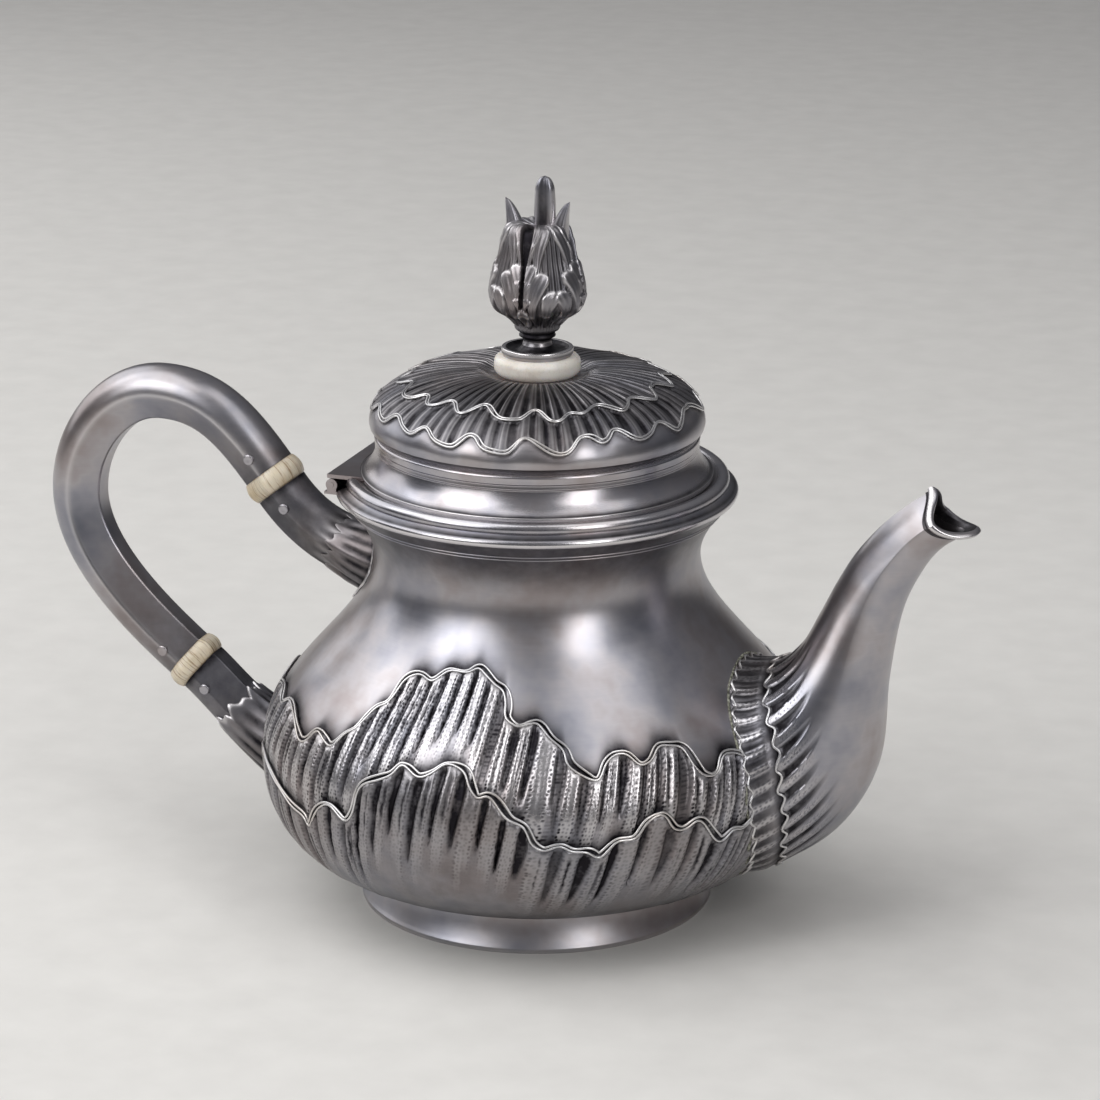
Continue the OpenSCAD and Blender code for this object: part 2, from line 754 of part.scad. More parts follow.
// Web that ties one of the pot's knuckles to its plate
module hinge_web() {
    web = barrel_r * 0.8;
    translate([-web, 0, notch_z - hinge_z]) cube([2 * web, knuckle_l - knuckle_gap, hinge_z - notch_z]);
}
module hinge_bore(r) {
    translate([hinge_x, -past / 2 - hinge_w, hinge_z]) rotate([-90, 0, 0]) cylinder(r = r, h = 2 * hinge_w + past);
}
module hinge_pin() {
    color(silver) translate([hinge_x, -hinge_w / 2, hinge_z])
        rotate([-90, 0, 0]) cylinder(r = hinge_pin_r, h = hinge_w);
}

// ---- Pieces of the lid ----

// Lid's half of the hinge: a flat leaf beside the flange, and its knuckles
module lid_hinge_leaf() {
    color(silver) difference() {
        union() {
            difference() {
                hinge_box(hinge_x - leaf_back, leaf_z, -flange_r / 2, flange_top, hinge_w);
                cylinder(r = flange_r + solder_gap, h = 2 * flange_top);
            }
            at_knuckles(1) knuckle_rod(barrel_r);
            at_knuckles(1) translate([-leaf_back, 0, 0])
                cube([2 * leaf_back, knuckle_l - knuckle_gap, flange_top - hinge_z]);
        }
        hinge_bore(hinge_pin_r + pin_gap);
    }
}

// Flange and hollow moulding under the dome
module lid_gallery() {
    steps = 9;
    rise = [
        for (i = [0 : steps])
            [lerp(flange_r - 0.4, gallery_r, 1 - pow(1 - i / steps, 2.2)), flange_top + gallery_h * i / steps]
    ];
    flare = [
        for (i = [1 : 4])
            [gallery_r + (dome_r - 0.25 - gallery_r) * pow(i / 4, 1.6), gallery_z + gallery_flare_h * i / 4]
    ];
    outer = concat(rise, flare);
    color(silver) rotate_extrude()
        polygon(concat(
            [[bezel_r - lid_wall, flange_z], [flange_r, flange_z], [flange_r, flange_top]],
            outer,
            [for (p = reversed(outer)) [min(p[0] - lid_wall, flange_r - 2 * lid_wall), p[1]]]
        ));
}

module lid_bezel() {
    color(silver) translate([0, 0, flange_z - bezel_depth]) difference() {
        cylinder(r = bezel_r, h = bezel_depth);
        translate([0, 0, -1]) cylinder(r = bezel_r - lid_wall, h = bezel_depth + 2);
    }
}

module lid_dome() {
    arch = [
        for (i = [0 : dome_steps])
            let (a = 90 * i / dome_steps)
            [crown_r + (dome_r - crown_r) * cos(a), dome_z + dome_edge_h + dome_h * sin(a)]
    ];
    dip = [
        for (i = [1 : 6])
            [lerp(crown_r, dish_r, i / 6), lerp(dish_z, crown_z, (1 + cos(30 * i)) / 2)]
    ];
    outer = concat([[dome_r - 0.25, dome_z]], arch, dip, [[0, dish_z]]);
    // The inner side is the same curve, drawn smaller by the sheet's thickness
    inner = concat([[dome_r - 0.25 - lid_wall, dome_z]], inset(outer, lid_wall), [[0, dish_z - lid_wall]]);
    color(silver) difference() {
        rotate_extrude() polygon(concat(outer, reversed(inner)));
        translate([0, 0, dome_z]) cylinder(r = stud_r + solder_gap, h = past, $fn = 32);
    }
}

// ---- Pieces of the finial ----

module finial_disc() {
    steps = 12;
    roundness = 1;
    side = [
        for (i = [0 : steps])
            [disc_r - roundness * pow(abs(2 * i / steps - 1), 3), dish_z + disc_h * i / steps]
    ];
    color(bone) difference() {
        rotate_extrude() polygon(concat([[0, dish_z]], side, [[0, dish_z + disc_h]]));
        stud_bore();
    }
}
module stud_bore() {
    translate([0, 0, stud_z]) cylinder(r = stud_r + solder_gap, h = stud_top - stud_z, $fn = 32);
}
module finial_stud() {
    color(silver) translate([0, 0, stud_z]) cylinder(r = stud_r, h = stud_top - stud_z - solder_gap, $fn = 32);
}
// Dished plate and waisted stem
module finial_plate() {
    top = plate_z + plate_h;
    color(silver) difference() {
        rotate_extrude()
            polygon([
                [0, plate_z], [plate_r - 0.25, plate_z], [plate_r, plate_z + 0.4 * plate_h],
                [plate_r, top - 0.2], [plate_r - 0.35, top], [plate_r - 0.8, top - 0.15],
                [plate_r - 1.6, top - 0.7], [stem_r + 1.3, top - 0.8], [stem_r + 0.4, top - 0.4],
                [stem_r, top + 0.3 * stem_h], [stem_r, top + 0.6 * stem_h], [stem_r + 0.5, top + stem_h],
                [0, top + stem_h]
            ]);
        stud_bore();
    }
}
module finial_bud() {
    // Outline of the bud as [share of its greatest radius, share of its height]
    outline = [
        [0.34, 0], [0.46, 0.03], [0.5, 0.09], [0.64, 0.15], [0.87, 0.21], [1, 0.29], [1, 0.39], [0.94, 0.52],
        [0.82, 0.66], [0.72, 0.8], [0.62, 0.93], [0.35, 1]
    ];
    color(silver) difference() {
        union() {
            rotate_extrude()
                polygon(concat([[0, bud_z]], [for (p = outline) [p[0] * bud_r, bud_z + p[1] * bud_h]],
                    [[0, shoulder_z]]));
            for (side = [-1, 1]) leaf_tip(side);
            middle_tip();
        }
        stud_bore();
    }
}
// Pointed tip at the top of a side leaf
module leaf_tip(side) {
    low_z = shoulder_z - 0.25 * bud_h;
    translate([side * bud_r * 0.57, 0, low_z])
        rotate([0, side * 6, 0]) cylinder(r1 = 1.7, r2 = 0.25, h = 0.25 * bud_h + tip_h, $fn = 24);
}
// Rounded tip that stands in the middle, a little towards the spout
module middle_tip() {
    translate([bud_r * 0.15, 0, shoulder_z - 2]) {
        cylinder(r = finger_r, h = finger_h + 2 - finger_r, $fn = 24);
        translate([0, 0, finger_h + 2 - finger_r]) sphere(r = finger_r, $fn = 24);
    }
}
module finial_washer() {
    color(silver) translate([0, 0, washer_z]) difference() {
        cylinder(r = washer_r, h = washer_t);
        translate([0, 0, -1]) cylinder(r = stud_r + solder_gap, h = washer_t + 2, $fn = 32);
    }
}
module finial_nut() {
    color(silver) translate([0, 0, nut_z]) difference() {
        cylinder(r = nut_w / 2, h = nut_h, $fn = 6);
        translate([0, 0, -1]) cylinder(r = stud_r + solder_gap, h = nut_h + 2, $fn = 32);
    }
}

body_shell();
foot_ring();
mouth_rim();
spout();
spout_collar();
spout_lip();
upper_socket();
upper_socket_leaf();
upper_insulator();
handle_grip();
lower_insulator();
lower_socket();
lower_socket_leaf();
upper_grip_pin();
upper_socket_pin();
lower_grip_pin();
lower_socket_pin();
hinge_bracket();
hinge_pin();
lid_dome();
lid_gallery();
lid_bezel();
lid_hinge_leaf();
finial_disc();
finial_plate();
finial_bud();
finial_stud();
finial_washer();
finial_nut();
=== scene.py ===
"""Silver teapot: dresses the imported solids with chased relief, silver, bone and a studio."""
import math
from functools import partial

import bpy
import numpy as np
from mathutils import Euler, Matrix, Vector


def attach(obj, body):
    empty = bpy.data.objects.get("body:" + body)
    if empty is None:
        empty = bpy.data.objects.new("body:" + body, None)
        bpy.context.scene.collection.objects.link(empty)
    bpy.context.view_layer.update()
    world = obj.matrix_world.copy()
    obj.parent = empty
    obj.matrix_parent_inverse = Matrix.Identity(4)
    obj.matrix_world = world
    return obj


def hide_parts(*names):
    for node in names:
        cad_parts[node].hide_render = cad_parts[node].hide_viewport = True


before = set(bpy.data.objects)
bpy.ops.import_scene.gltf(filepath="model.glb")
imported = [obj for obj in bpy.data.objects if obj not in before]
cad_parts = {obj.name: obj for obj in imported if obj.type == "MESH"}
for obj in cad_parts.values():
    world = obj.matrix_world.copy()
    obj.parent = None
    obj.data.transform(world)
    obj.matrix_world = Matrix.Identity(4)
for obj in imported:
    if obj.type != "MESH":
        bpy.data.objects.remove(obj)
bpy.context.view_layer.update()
MM = 0.001

# ---- Sizes, in millimetres, as in the part ----

FOOT_H, FLOOR_R = 9.4, 36.5
BELLY_R, BELLY_Z, BELLY_BAND = 57.8, 31.0, 3.5
NECK_R, NECK_Z = 34.2, 76.0
MOUTH_R, MOUTH_Z = 41.0, 88.3
WALL = 0.9
FLOOR_FULLNESS, FLARE_POWER = 2.1, 1.85


# ---- Curves ----

def thread(points, steps):
    """Smooth curve through points, as steps samples for each stretch."""
    p = np.asarray(points, float)
    p = np.vstack([2 * p[0] - p[1], p, 2 * p[-1] - p[-2]])
    out = []
    for i in range(1, len(p) - 2):
        t = np.linspace(0, 1, steps, endpoint=False)[:, None]
        a, b, c, d = p[i - 1], p[i], p[i + 1], p[i + 2]
        out.append(b + (c - a) * t / 2 + (2 * a - 5 * b + 4 * c - d) * t**2 / 2
                   + (3 * b - a - 3 * c + d) * t**3 / 2)
    out.append(p[-2:-1])
    return np.vstack(out)


def ease(low, high, x):
    """0 below low and 1 above high, with soft ends."""
    t = np.clip((x - low) / (high - low), 0, 1)
    return t * t * (3 - 2 * t)


def arc_lengths(line):
    return np.concatenate([[0], np.cumsum(np.linalg.norm(np.diff(line, axis=0), axis=1))])


def degrees_round(count):
    """Angles all the way round, evenly set."""
    return np.arange(count) * 360 / count


def cosine_wave(phase):
    """1 at whole numbers and 0 half way between."""
    return 0.5 + 0.5 * np.cos(2 * math.pi * phase)


class Outline:
    """A turned outline, looked up by the distance along it."""

    def __init__(self, points):
        self.points = np.asarray(points, float)
        self.s = arc_lengths(self.points)
        tangent = np.gradient(self.points, self.s, axis=0)
        tangent /= np.linalg.norm(tangent, axis=1)[:, None]
        self.normals = np.stack([tangent[:, 1], -tangent[:, 0]], 1)

    def at(self, s):
        return np.stack([np.interp(s, self.s, self.points[:, k]) for k in (0, 1)], -1)

    def normal(self, s):
        n = np.stack([np.interp(s, self.s, self.normals[:, k]) for k in (0, 1)], -1)
        return n / np.linalg.norm(n, axis=-1)[..., None]

    def s_at_height(self, z):
        return np.interp(z, self.points[:, 1], self.s)

    def surface(self, angle, s, lift):
        """Points on the turned surface, lifted along its normal. The angle is in degrees."""
        p, n = self.at(s), self.normal(s)
        r, z = p[..., 0] + n[..., 0] * lift, p[..., 1] + n[..., 1] * lift
        a = np.radians(angle)
        return np.stack([r * np.cos(a), r * np.sin(a), z], -1)


def body_outline():
    t = np.linspace(0, 1, 160)
    z = BELLY_Z - (BELLY_Z - FOOT_H) * np.cos(t * math.pi / 2) ** (2 / FLOOR_FULLNESS)
    drop = np.clip((BELLY_Z - z) / (BELLY_Z - FOOT_H), 0, 1)
    full = (1 - drop**FLOOR_FULLNESS) ** (1 / FLOOR_FULLNESS)
    floor = np.stack([FLOOR_R + (BELLY_R - FLOOR_R) * full, z], 1)
    top = BELLY_Z + BELLY_BAND
    z = np.linspace(top, NECK_Z, 160)
    share = (1 + np.cos(math.pi * (z - top) / (NECK_Z - top))) / 2
    wall = np.stack([NECK_R + (BELLY_R - NECK_R) * share, z], 1)
    z = np.linspace(NECK_Z, MOUTH_Z, 60)[1:]
    flare = np.stack([NECK_R + (MOUTH_R - NECK_R) * ((z - NECK_Z) / (MOUTH_Z - NECK_Z)) ** FLARE_POWER, z], 1)
    return Outline(np.vstack([floor, wall, flare]))


BODY = body_outline()


# ---- Meshes ----

ON_AXIS = 1e-6  # a smaller radius counts as none


def new_piece(name, mesh):
    piece = bpy.data.objects.new(name, mesh)
    bpy.context.scene.collection.objects.link(piece)
    return piece


def stitch(rings):
    """Faces over rings of point numbers, each joined to the next and the last to the first. A ring of one
    point is a pole, and a ring may have a whole number of times as many points as its neighbour."""
    faces = []
    for low, high in zip(rings, rings[1:] + rings[:1]):
        a, b = len(low), len(high)
        if a == 1 and b == 1:
            continue
        if a == b:
            faces += list(zip(low, np.roll(low, -1), np.roll(high, -1), high))
        elif a == 1:
            faces += list(zip(np.roll(high, -1), high, [low[0]] * b))
        elif b == 1:
            faces += list(zip(low, np.roll(low, -1), [high[0]] * a))
        else:
            few, many = (high, low) if a > b else (low, high)
            fold, turn = len(many) // len(few), 1 if a > b else -1
            for i in range(len(few)):
                k = (i + 1) % len(few)
                for j in range(fold):
                    x, y = many[i * fold + j], many[(i * fold + j + 1) % len(many)]
                    faces.append((x, y, few[i] if j < fold // 2 else few[k])[::turn])
                faces.append((few[i], many[i * fold + fold // 2], few[k])[::turn])
    return faces


def volume(points, faces):
    total = 0.0
    for size in (3, 4):
        f = np.array([f for f in faces if len(f) == size])
        for k in range(1, size - 1) if len(f) else ():
            a, b, c = points[f[:, 0]], points[f[:, k]], points[f[:, k + 1]]
            total += np.einsum("ij,ij->", a, np.cross(b, c)) / 6
    return total


def lofted(name, solids, finish, marks=None, uv=None, crease=50):
    """A piece of one or more closed skins, each a list of rings of points in millimetres. marks and uv hold
    values for the first points, and the others have none."""
    points, faces = [], []
    for rings in solids:
        rings = [np.reshape(r, (-1, 3)) for r in rings]
        ends = sum(len(p) for p in points) + np.cumsum([0] + [len(r) for r in rings])
        skin = stitch([np.arange(a, b) for a, b in zip(ends, ends[1:])])
        points += rings
        if volume(np.vstack(points), skin) < 0:
            skin = [f[::-1] for f in skin]
        faces += skin
    points = np.vstack(points)
    mesh = bpy.data.meshes.new(name)
    mesh.from_pydata((points * MM).tolist(), [], [tuple(map(int, f)) for f in faces])
    for mark in ("hollow", "worn", "punched"):
        values = np.zeros(len(points), np.float32)
        given = np.ravel((marks or {}).get(mark, []))
        values[:len(given)] = given
        mesh.attributes.new(mark, "FLOAT", "POINT").data.foreach_set("value", values)
    layer = mesh.uv_layers.new(name="chasing")
    if uv is not None:
        places = np.zeros((len(points), 2), np.float32)
        given = np.reshape(uv, (-1, 2))
        places[:len(given)] = given * MM
        corners = np.empty(len(mesh.loops), np.int32)
        mesh.loops.foreach_get("vertex_index", corners)
        layer.data.foreach_set("uv", places[corners].ravel())
    mesh.polygons.foreach_set("use_smooth", [True] * len(mesh.polygons))
    mesh.set_sharp_from_angle(angle=math.radians(crease))
    mesh.materials.append(finish)
    return new_piece(name, mesh)


def ring(r, z, columns):
    """Points of a circle about the pot's axis, or its one point where the radius is nothing."""
    if r < ON_AXIS:
        return np.array([[0, 0, z]])
    a = np.radians(degrees_round(columns) - 180)
    return np.stack([r * np.cos(a), r * np.sin(a), np.full(columns, z)], 1)


def turned(name, outline, finish, columns, marks, crease=35):
    """A turned piece from an outline of [radius, height]. marks hold one value for each point of it."""
    rings = [ring(r, z, columns) for r, z in outline]
    spread = {mark: np.concatenate([np.full(len(r), v) for r, v in zip(rings, values)])
              for mark, values in marks.items()}
    return lofted(name, [rings], finish, spread, crease=crease)


def rounded(corners, steps=4):
    """An outline with its corners rounded off. A corner is [radius, height, how far its rounding reaches],
    and the rounding takes up less than half of either side."""
    out = []
    places = [np.array(corner[:2], float) for corner in corners]
    for i, (p, corner) in enumerate(zip(places, corners)):
        soft = corner[2]
        if soft == 0:
            out.append(p)
            continue
        a, b = places[i - 1] - p, places[(i + 1) % len(places)] - p
        cut = min(soft, np.linalg.norm(a) * 0.45, np.linalg.norm(b) * 0.45)
        a, b = p + a / np.linalg.norm(a) * cut, p + b / np.linalg.norm(b) * cut
        for t in np.linspace(0, 1, steps + 1):
            out.append(a * (1 - t) ** 2 + 2 * p * t * (1 - t) + b * t * t)
    return out


def closed_ends(rings):
    """Rings with a pole at each end."""
    rings = [np.asarray(r) for r in rings]
    return rings + [rings[-1].mean(0)[None], rings[0].mean(0)[None]]


def evaluated(piece):
    """The plain mesh that a piece's modifiers make."""
    bpy.context.view_layer.update()
    return bpy.data.meshes.new_from_object(piece.evaluated_get(bpy.context.evaluated_depsgraph_get()))


# ---- Finishes ----

def linear(code):
    """sRGB hex colour to the renderer's linear values."""
    parts = [int(code[i:i + 2], 16) / 255 for i in (0, 2, 4)]
    return [v / 12.92 if v <= 0.04045 else ((v + 0.055) / 1.055) ** 2.4 for v in parts] + [1.0]


def add_node(tree, kind, out=0, stops=None, settings=None, **links):
    """Adds a node and gives its output socket. A link's value is a socket, a number, a vector or a hex
    colour, and i0, i1 and so on are inputs by place. stops are a colour ramp's places and colours."""
    new = tree.nodes.new("ShaderNode" + kind)
    for key, value in (settings or {}).items():
        setattr(new, key, value)
    for key, value in links.items():
        socket = new.inputs[int(key[1:])] if key[1:].isdigit() else new.inputs[key.replace("_", " ")]
        if isinstance(value, bpy.types.NodeSocket):
            tree.links.new(value, socket)
        else:
            socket.default_value = linear(value) if isinstance(value, str) else value
    if stops:
        ends = new.color_ramp.elements
        while len(ends) < len(stops):
            ends.new(0.5)
        for end, (place, colour) in zip(ends, stops):
            end.position, end.color = place, linear(colour)
    return new.outputs[out]


def new_material(name):
    """A material, its shader, and a function that adds nodes to it."""
    made = bpy.data.materials.new(name)
    made.use_nodes = True
    return made, made.node_tree.nodes["Principled BSDF"], partial(add_node, made.node_tree)


def finish_with(made, shader, colour, roughness, normal):
    """Links a material's worked-out looks to its shader."""
    for name, socket in (("Base Color", colour), ("Roughness", roughness), ("Normal", normal)):
        made.node_tree.links.new(socket, shader.inputs[name])
    return made


SUM, LESS, TIMES = {"operation": "ADD"}, {"operation": "SUBTRACT"}, {"operation": "MULTIPLY"}
HELD = {"operation": "MULTIPLY", "use_clamp": True}
HELD_SUM = {"operation": "ADD", "use_clamp": True}
HELD_LESS = {"operation": "SUBTRACT", "use_clamp": True}
BLEND = {"data_type": "RGBA"}

# Real sizes of the patterns, in millimetres
PUNCH_PITCH = 0.85    # rows of fine punched dots along the flutes
BRUSH_PITCH = 0.35    # marks of the polishing mop, drawn coarser than real so that they show
TONING_PATCH = 24.0   # clouds of brown and blue tarnish
GRIME_PATCH = 5.0     # thick and thin places in the black of the hollows
BONE_PATCH = 7.0      # paler and browner places in the bone
FIBRE_PATCH = 12.0    # paler and darker places in the paper on the floor
GRAIN_PITCH = 0.7     # cracks in the bone
PASTE_LUMP = 0.8      # lumps of dried polish

# Clouds of tarnish on the polished faces, from cool through clean to warm, and on the rubbed edges
TARNISHED = ("888a94", "a3a2a9", "b2aeb1", "a59d9d", "8d8281")
RUBBED = ("c0c0c4", "d2d1d3", "dedcdc", "d1cbc7", "bfb7b2")
CLOUDS = (0.28, 0.42, 0.52, 0.62, 0.78)  # where in the noise each tone lies
# The black of the hollows: tarnish, and also painted shade under the belly and along its chased ridges
SULPHIDE_AND_SHADE, CLEAN_EDGE = "252327", "dddadb"
SATIN_ROUGHNESS, TURNED_ROUGHNESS, FOOT_ROUGHNESS = 0.3, 0.24, 0.36
SULPHIDE_DULLS, WEAR_POLISHES = 0.16, 0.08  # changes of roughness
MOP_SHOWS = 0.06  # how much the mop's marks change the colour
MOP_STRETCH = (0.05, 0.05, 1.0)  # they run round the pot, twenty times as long as they are high
MOP_DEPTH, PIT_DEPTH = 0.01, 1.3  # shares of the relief's distance
PIT_BLACK, PIT_SCATTER = 0.75, 0.62  # how black a punched dot is, and how unevenly the dots are set

BARREL_TONES, DISC_TONES = ("c9b899", "d8ccb5", "e0d7c5"), ("d8cfc4", "e6e0d7", "efeae3")
BARREL_CRACKS, DISC_CRACKS = 0.8, 0.1  # how dark the cracks are
GRAIN_STRETCH = (1.0, 0.05, 1.0)  # cracks run along the handle
CRACK_BROWN, GREASE_BROWN = "8a6b45", "6d4f33"
BONE_IOR = 1.54


def mopped_silver(add, place, roughness, tones):
    """Colour, roughness and relief of a polished face: clouds of tarnish under fine marks of the mop."""
    clouds = add("TexNoise", Vector=place, Scale=1 / (TONING_PATCH * MM), Detail=4.0, Roughness=0.6)
    tint = add("ValToRGB", Fac=clouds, stops=list(zip(CLOUDS, tones)))
    stretched = add("Mapping", Vector=place, Scale=MOP_STRETCH)
    brush = add("TexNoise", Vector=stretched, Scale=1 / (BRUSH_PITCH * MM), Detail=1.0)
    marked = add("ValToRGB", Fac=brush, stops=[(0.3, "c8c8c8"), (0.6, "ffffff")])
    darken = dict(BLEND, blend_type="MULTIPLY")
    tint = add("Mix", out=2, settings=darken, i0=MOP_SHOWS, i6=tint, i7=marked)
    gloss = add("MapRange", Value=brush, From_Min=0.3, From_Max=0.75, To_Min=roughness - 0.01,
                To_Max=roughness + 0.015)
    return tint, gloss, add("Math", settings=TIMES, i0=brush, i1=MOP_DEPTH)


def punched_dots(add):
    """Dots set in rows on the chasing's own map, 1 in the middle of each, where a piece is punched."""
    across = add("UVMap", settings={"uv_map": "chasing"})
    dots = add("TexVoronoi", settings={"voronoi_dimensions": "2D"}, Vector=across,
               Scale=1 / (PUNCH_PITCH * MM), Randomness=PIT_SCATTER)
    pits = add("MapRange", Value=dots, From_Min=0.12, From_Max=0.45, To_Min=1.0, To_Max=0.0)
    punched = add("Attribute", out="Fac", settings={"attribute_name": "punched"})
    return add("Math", settings=TIMES, i0=pits, i1=punched)


def tarnish_shade_and_wear(add, place, tint, gloss, bump, chased):
    """Blackens the hollows unevenly, with tarnish and with painted shade, and clears the worn edges."""
    hollow = add("Attribute", out="Fac", settings={"attribute_name": "hollow"})
    worn = add("Attribute", out="Fac", settings={"attribute_name": "worn"})
    grime = add("TexNoise", Vector=place, Scale=1 / (GRIME_PATCH * MM), Detail=6.0, Roughness=0.65)
    black = add("Math", settings=HELD, i0=hollow, i1=add("Math", settings=SUM, i0=grime, i1=0.55))
    if chased:
        pits = punched_dots(add)
        pit_black = add("Math", settings=TIMES, i0=pits, i1=PIT_BLACK)
        black = add("Math", settings=HELD_SUM, i0=black, i1=pit_black)
        bump = add("Math", settings=LESS, i0=bump, i1=add("Math", settings=TIMES, i0=pits, i1=PIT_DEPTH))
        worn = add("Math", settings=HELD_LESS, i0=worn, i1=pits)
    tint = add("Mix", out=2, settings=BLEND, i0=black, i6=tint, i7=SULPHIDE_AND_SHADE)
    tint = add("Mix", out=2, settings=BLEND, i0=worn, i6=tint, i7=CLEAN_EDGE)
    duller = add("Math", settings=TIMES, i0=black, i1=SULPHIDE_DULLS)
    gloss = add("Math", settings=SUM, i0=gloss, i1=duller)
    brighter = add("Math", settings=TIMES, i0=worn, i1=WEAR_POLISHES)
    return tint, add("Math", settings=LESS, i0=gloss, i1=brighter), bump


def silver_finish(name, chased=False, roughness=SATIN_ROUGHNESS, marks=True, tones=TARNISHED):
    """Old silver, raised by hand and polished: a soft satin with clouds of warm and cool tarnish. Black
    sulphide stays in the hollows, and the same black is painted shade under the belly and along its chased
    ridges. Worn edges are bright, and on chased pieces rows of dots are punched in."""
    made, shader, add = new_material(name)
    place = add("TexCoord", out="Object")
    tint, gloss, bump = mopped_silver(add, place, roughness, tones)
    if marks:
        tint, gloss, bump = tarnish_shade_and_wear(add, place, tint, gloss, bump, chased)
    shader.inputs["Metallic"].default_value = 1.0
    relief = add("Bump", Strength=0.35, Distance=0.12 * MM, Height=bump)
    return finish_with(made, shader, tint, gloss, relief)


def bone_finish(name, grained):
    """Turned bone, polished: cream, browner where grease has soaked in at the edges, and on the barrels with
    fine dark cracks along the grain."""
    made, shader, add = new_material(name)
    place = add("TexCoord", out="Object")
    clouds = add("TexNoise", Vector=place, Scale=1 / (BONE_PATCH * MM), Detail=3.0, Roughness=0.55)
    tones = BARREL_TONES if grained else DISC_TONES
    tint = add("ValToRGB", Fac=clouds, stops=list(zip((0.3, 0.48, 0.7), tones)))
    source = place
    if grained:
        source = add("Mapping", Vector=add("UVMap", settings={"uv_map": "chasing"}), Scale=GRAIN_STRETCH)
    pores = add("TexNoise", Vector=source, Scale=1 / (GRAIN_PITCH * MM), Detail=4.0, Roughness=0.7)
    darkest = BARREL_CRACKS if grained else DISC_CRACKS
    cracks = add("MapRange", Value=pores, From_Min=0.52, From_Max=0.62, To_Max=darkest)
    tint = add("Mix", out=2, settings=BLEND, i0=cracks, i6=tint, i7=CRACK_BROWN)
    hollow = add("Attribute", out="Fac", settings={"attribute_name": "hollow"})
    greasy = add("Math", settings=HELD, i0=hollow, i1=0.7)
    tint = add("Mix", out=2, settings=BLEND, i0=greasy, i6=tint, i7=GREASE_BROWN)
    gloss = add("MapRange", Value=pores, From_Min=0.4, From_Max=0.7, To_Min=0.26, To_Max=0.45)
    shader.inputs["IOR"].default_value = BONE_IOR
    shader.inputs["Subsurface Weight"].default_value = 0.25
    shader.inputs["Subsurface Scale"].default_value = 2 * MM
    shader.inputs["Subsurface Radius"].default_value = (1.0, 0.7, 0.4)
    sound = add("Math", settings=LESS, i0=1.0, i1=cracks)
    relief = add("Bump", Strength=0.3, Distance=0.1 * MM, Height=sound)
    return finish_with(made, shader, tint, gloss, relief)


def residue_finish(name):
    """Polishing paste dried in a seam: a dull grey-green crust, darker where it is thin."""
    made, shader, add = new_material(name)
    lumps = add("TexNoise", Vector=add("TexCoord", out="Object"), Scale=1 / (PASTE_LUMP * MM), Detail=4.0)
    tint = add("ValToRGB", Fac=lumps, stops=[(0.38, "4a4a42"), (0.5, "7c7c6e"), (0.62, "a3a396")])
    gloss = add("MapRange", Value=lumps, To_Min=0.75, To_Max=0.95)
    relief = add("Bump", Strength=0.6, Distance=0.1 * MM, Height=lumps)
    return finish_with(made, shader, tint, gloss, relief)


SATIN = silver_finish("satin_silver")
CHASED = silver_finish("chased_silver", chased=True)
TURNED = silver_finish("turned_silver", roughness=TURNED_ROUGHNESS)
FOOT_SATIN = silver_finish("foot_silver", roughness=FOOT_ROUGHNESS)
PLAIN = silver_finish("plain_silver", marks=False)
WORN = silver_finish("rubbed_silver", marks=False, tones=RUBBED)
RESIDUE = residue_finish("dried_polish")
BONE = bone_finish("turned_bone", True)
PALE_BONE = bone_finish("polished_bone", False)


# ---- Chased ridges ----
# Each ridge is the raised edge of a fluted layer, as [degrees round from the spout, height], drawn for one
# side of the pot and mirrored on the other.

UPPER_RIDGE = [
    (-180, 45), (-173, 47), (-166, 44.5), (-158, 46.5), (-150, 45), (-146, 47), (-138, 45.5), (-132, 43),
    (-129, 43.5), (-127, 46), (-123, 45), (-120, 44.7), (-118, 47.5), (-115.5, 49), (-113, 53), (-110, 54.5),
    (-108.5, 58.5), (-104.5, 60), (-100, 59.2), (-96, 61.5), (-90.5, 61.5), (-87.5, 62.5), (-85, 61.5),
    (-82, 60), (-79.5, 59), (-78.5, 57), (-78.3, 55), (-77, 54), (-74.5, 53.3), (-70.5, 54), (-67.5, 51.5),
    (-64.5, 49.5), (-63.8, 47), (-60.5, 45), (-57.5, 44.2), (-55.5, 46.8), (-53, 48.2), (-50.3, 48),
    (-48, 46), (-45, 46.5), (-42.5, 48.5), (-39.5, 48.3), (-36.8, 47.5), (-35.6, 44.5), (-33.5, 42),
    (-30, 41.8), (-27, 44.5), (-23, 44), (-19, 42), (-14, 44), (-8, 42.5), (0, 44),
]
LOWER_RIDGE = [
    (-180, 32), (-172, 34), (-164, 31.5), (-156, 33.5), (-148, 33.5), (-141, 32), (-136, 31), (-131, 29.3),
    (-126, 28.7), (-124, 27), (-121, 31.5), (-117, 34), (-112.5, 31.5), (-110, 34.5), (-109, 39.5),
    (-105, 41.5), (-102, 43), (-100, 45.2), (-96, 43.5), (-93, 44.5), (-90, 46.5), (-86, 45.5),
    (-84.5, 43), (-82.5, 41), (-80, 41.5), (-76.5, 37.5), (-73, 36), (-71.5, 32.5), (-69, 31), (-66, 32),
    (-63.5, 30.7), (-60.5, 30.4), (-58, 29), (-55.8, 31), (-54, 32.3), (-50.5, 32.4), (-48, 35.5),
    (-44.5, 36.5), (-42.3, 33.2), (-39.5, 32.5), (-36, 33.8), (-32.5, 29), (-30, 27.8), (-27, 29.5),
    (-24, 29), (-18, 31), (-10, 29), (0, 31),
]
RIDGE_STEPS = 14
RIDGE_SOFT = 15      # samples over which the corners are rounded
CREST_STEP = 0.25    # millimetres between the places where an edge is tried for crests
CREST_SPAN = 4       # places on each side that a crest bends more than
CREST_BEND = -0.12   # radians a millimetre
NEAREST_FLUTES, WIDEST_FLUTES = 0.62, 1.25  # shares of the usual gap


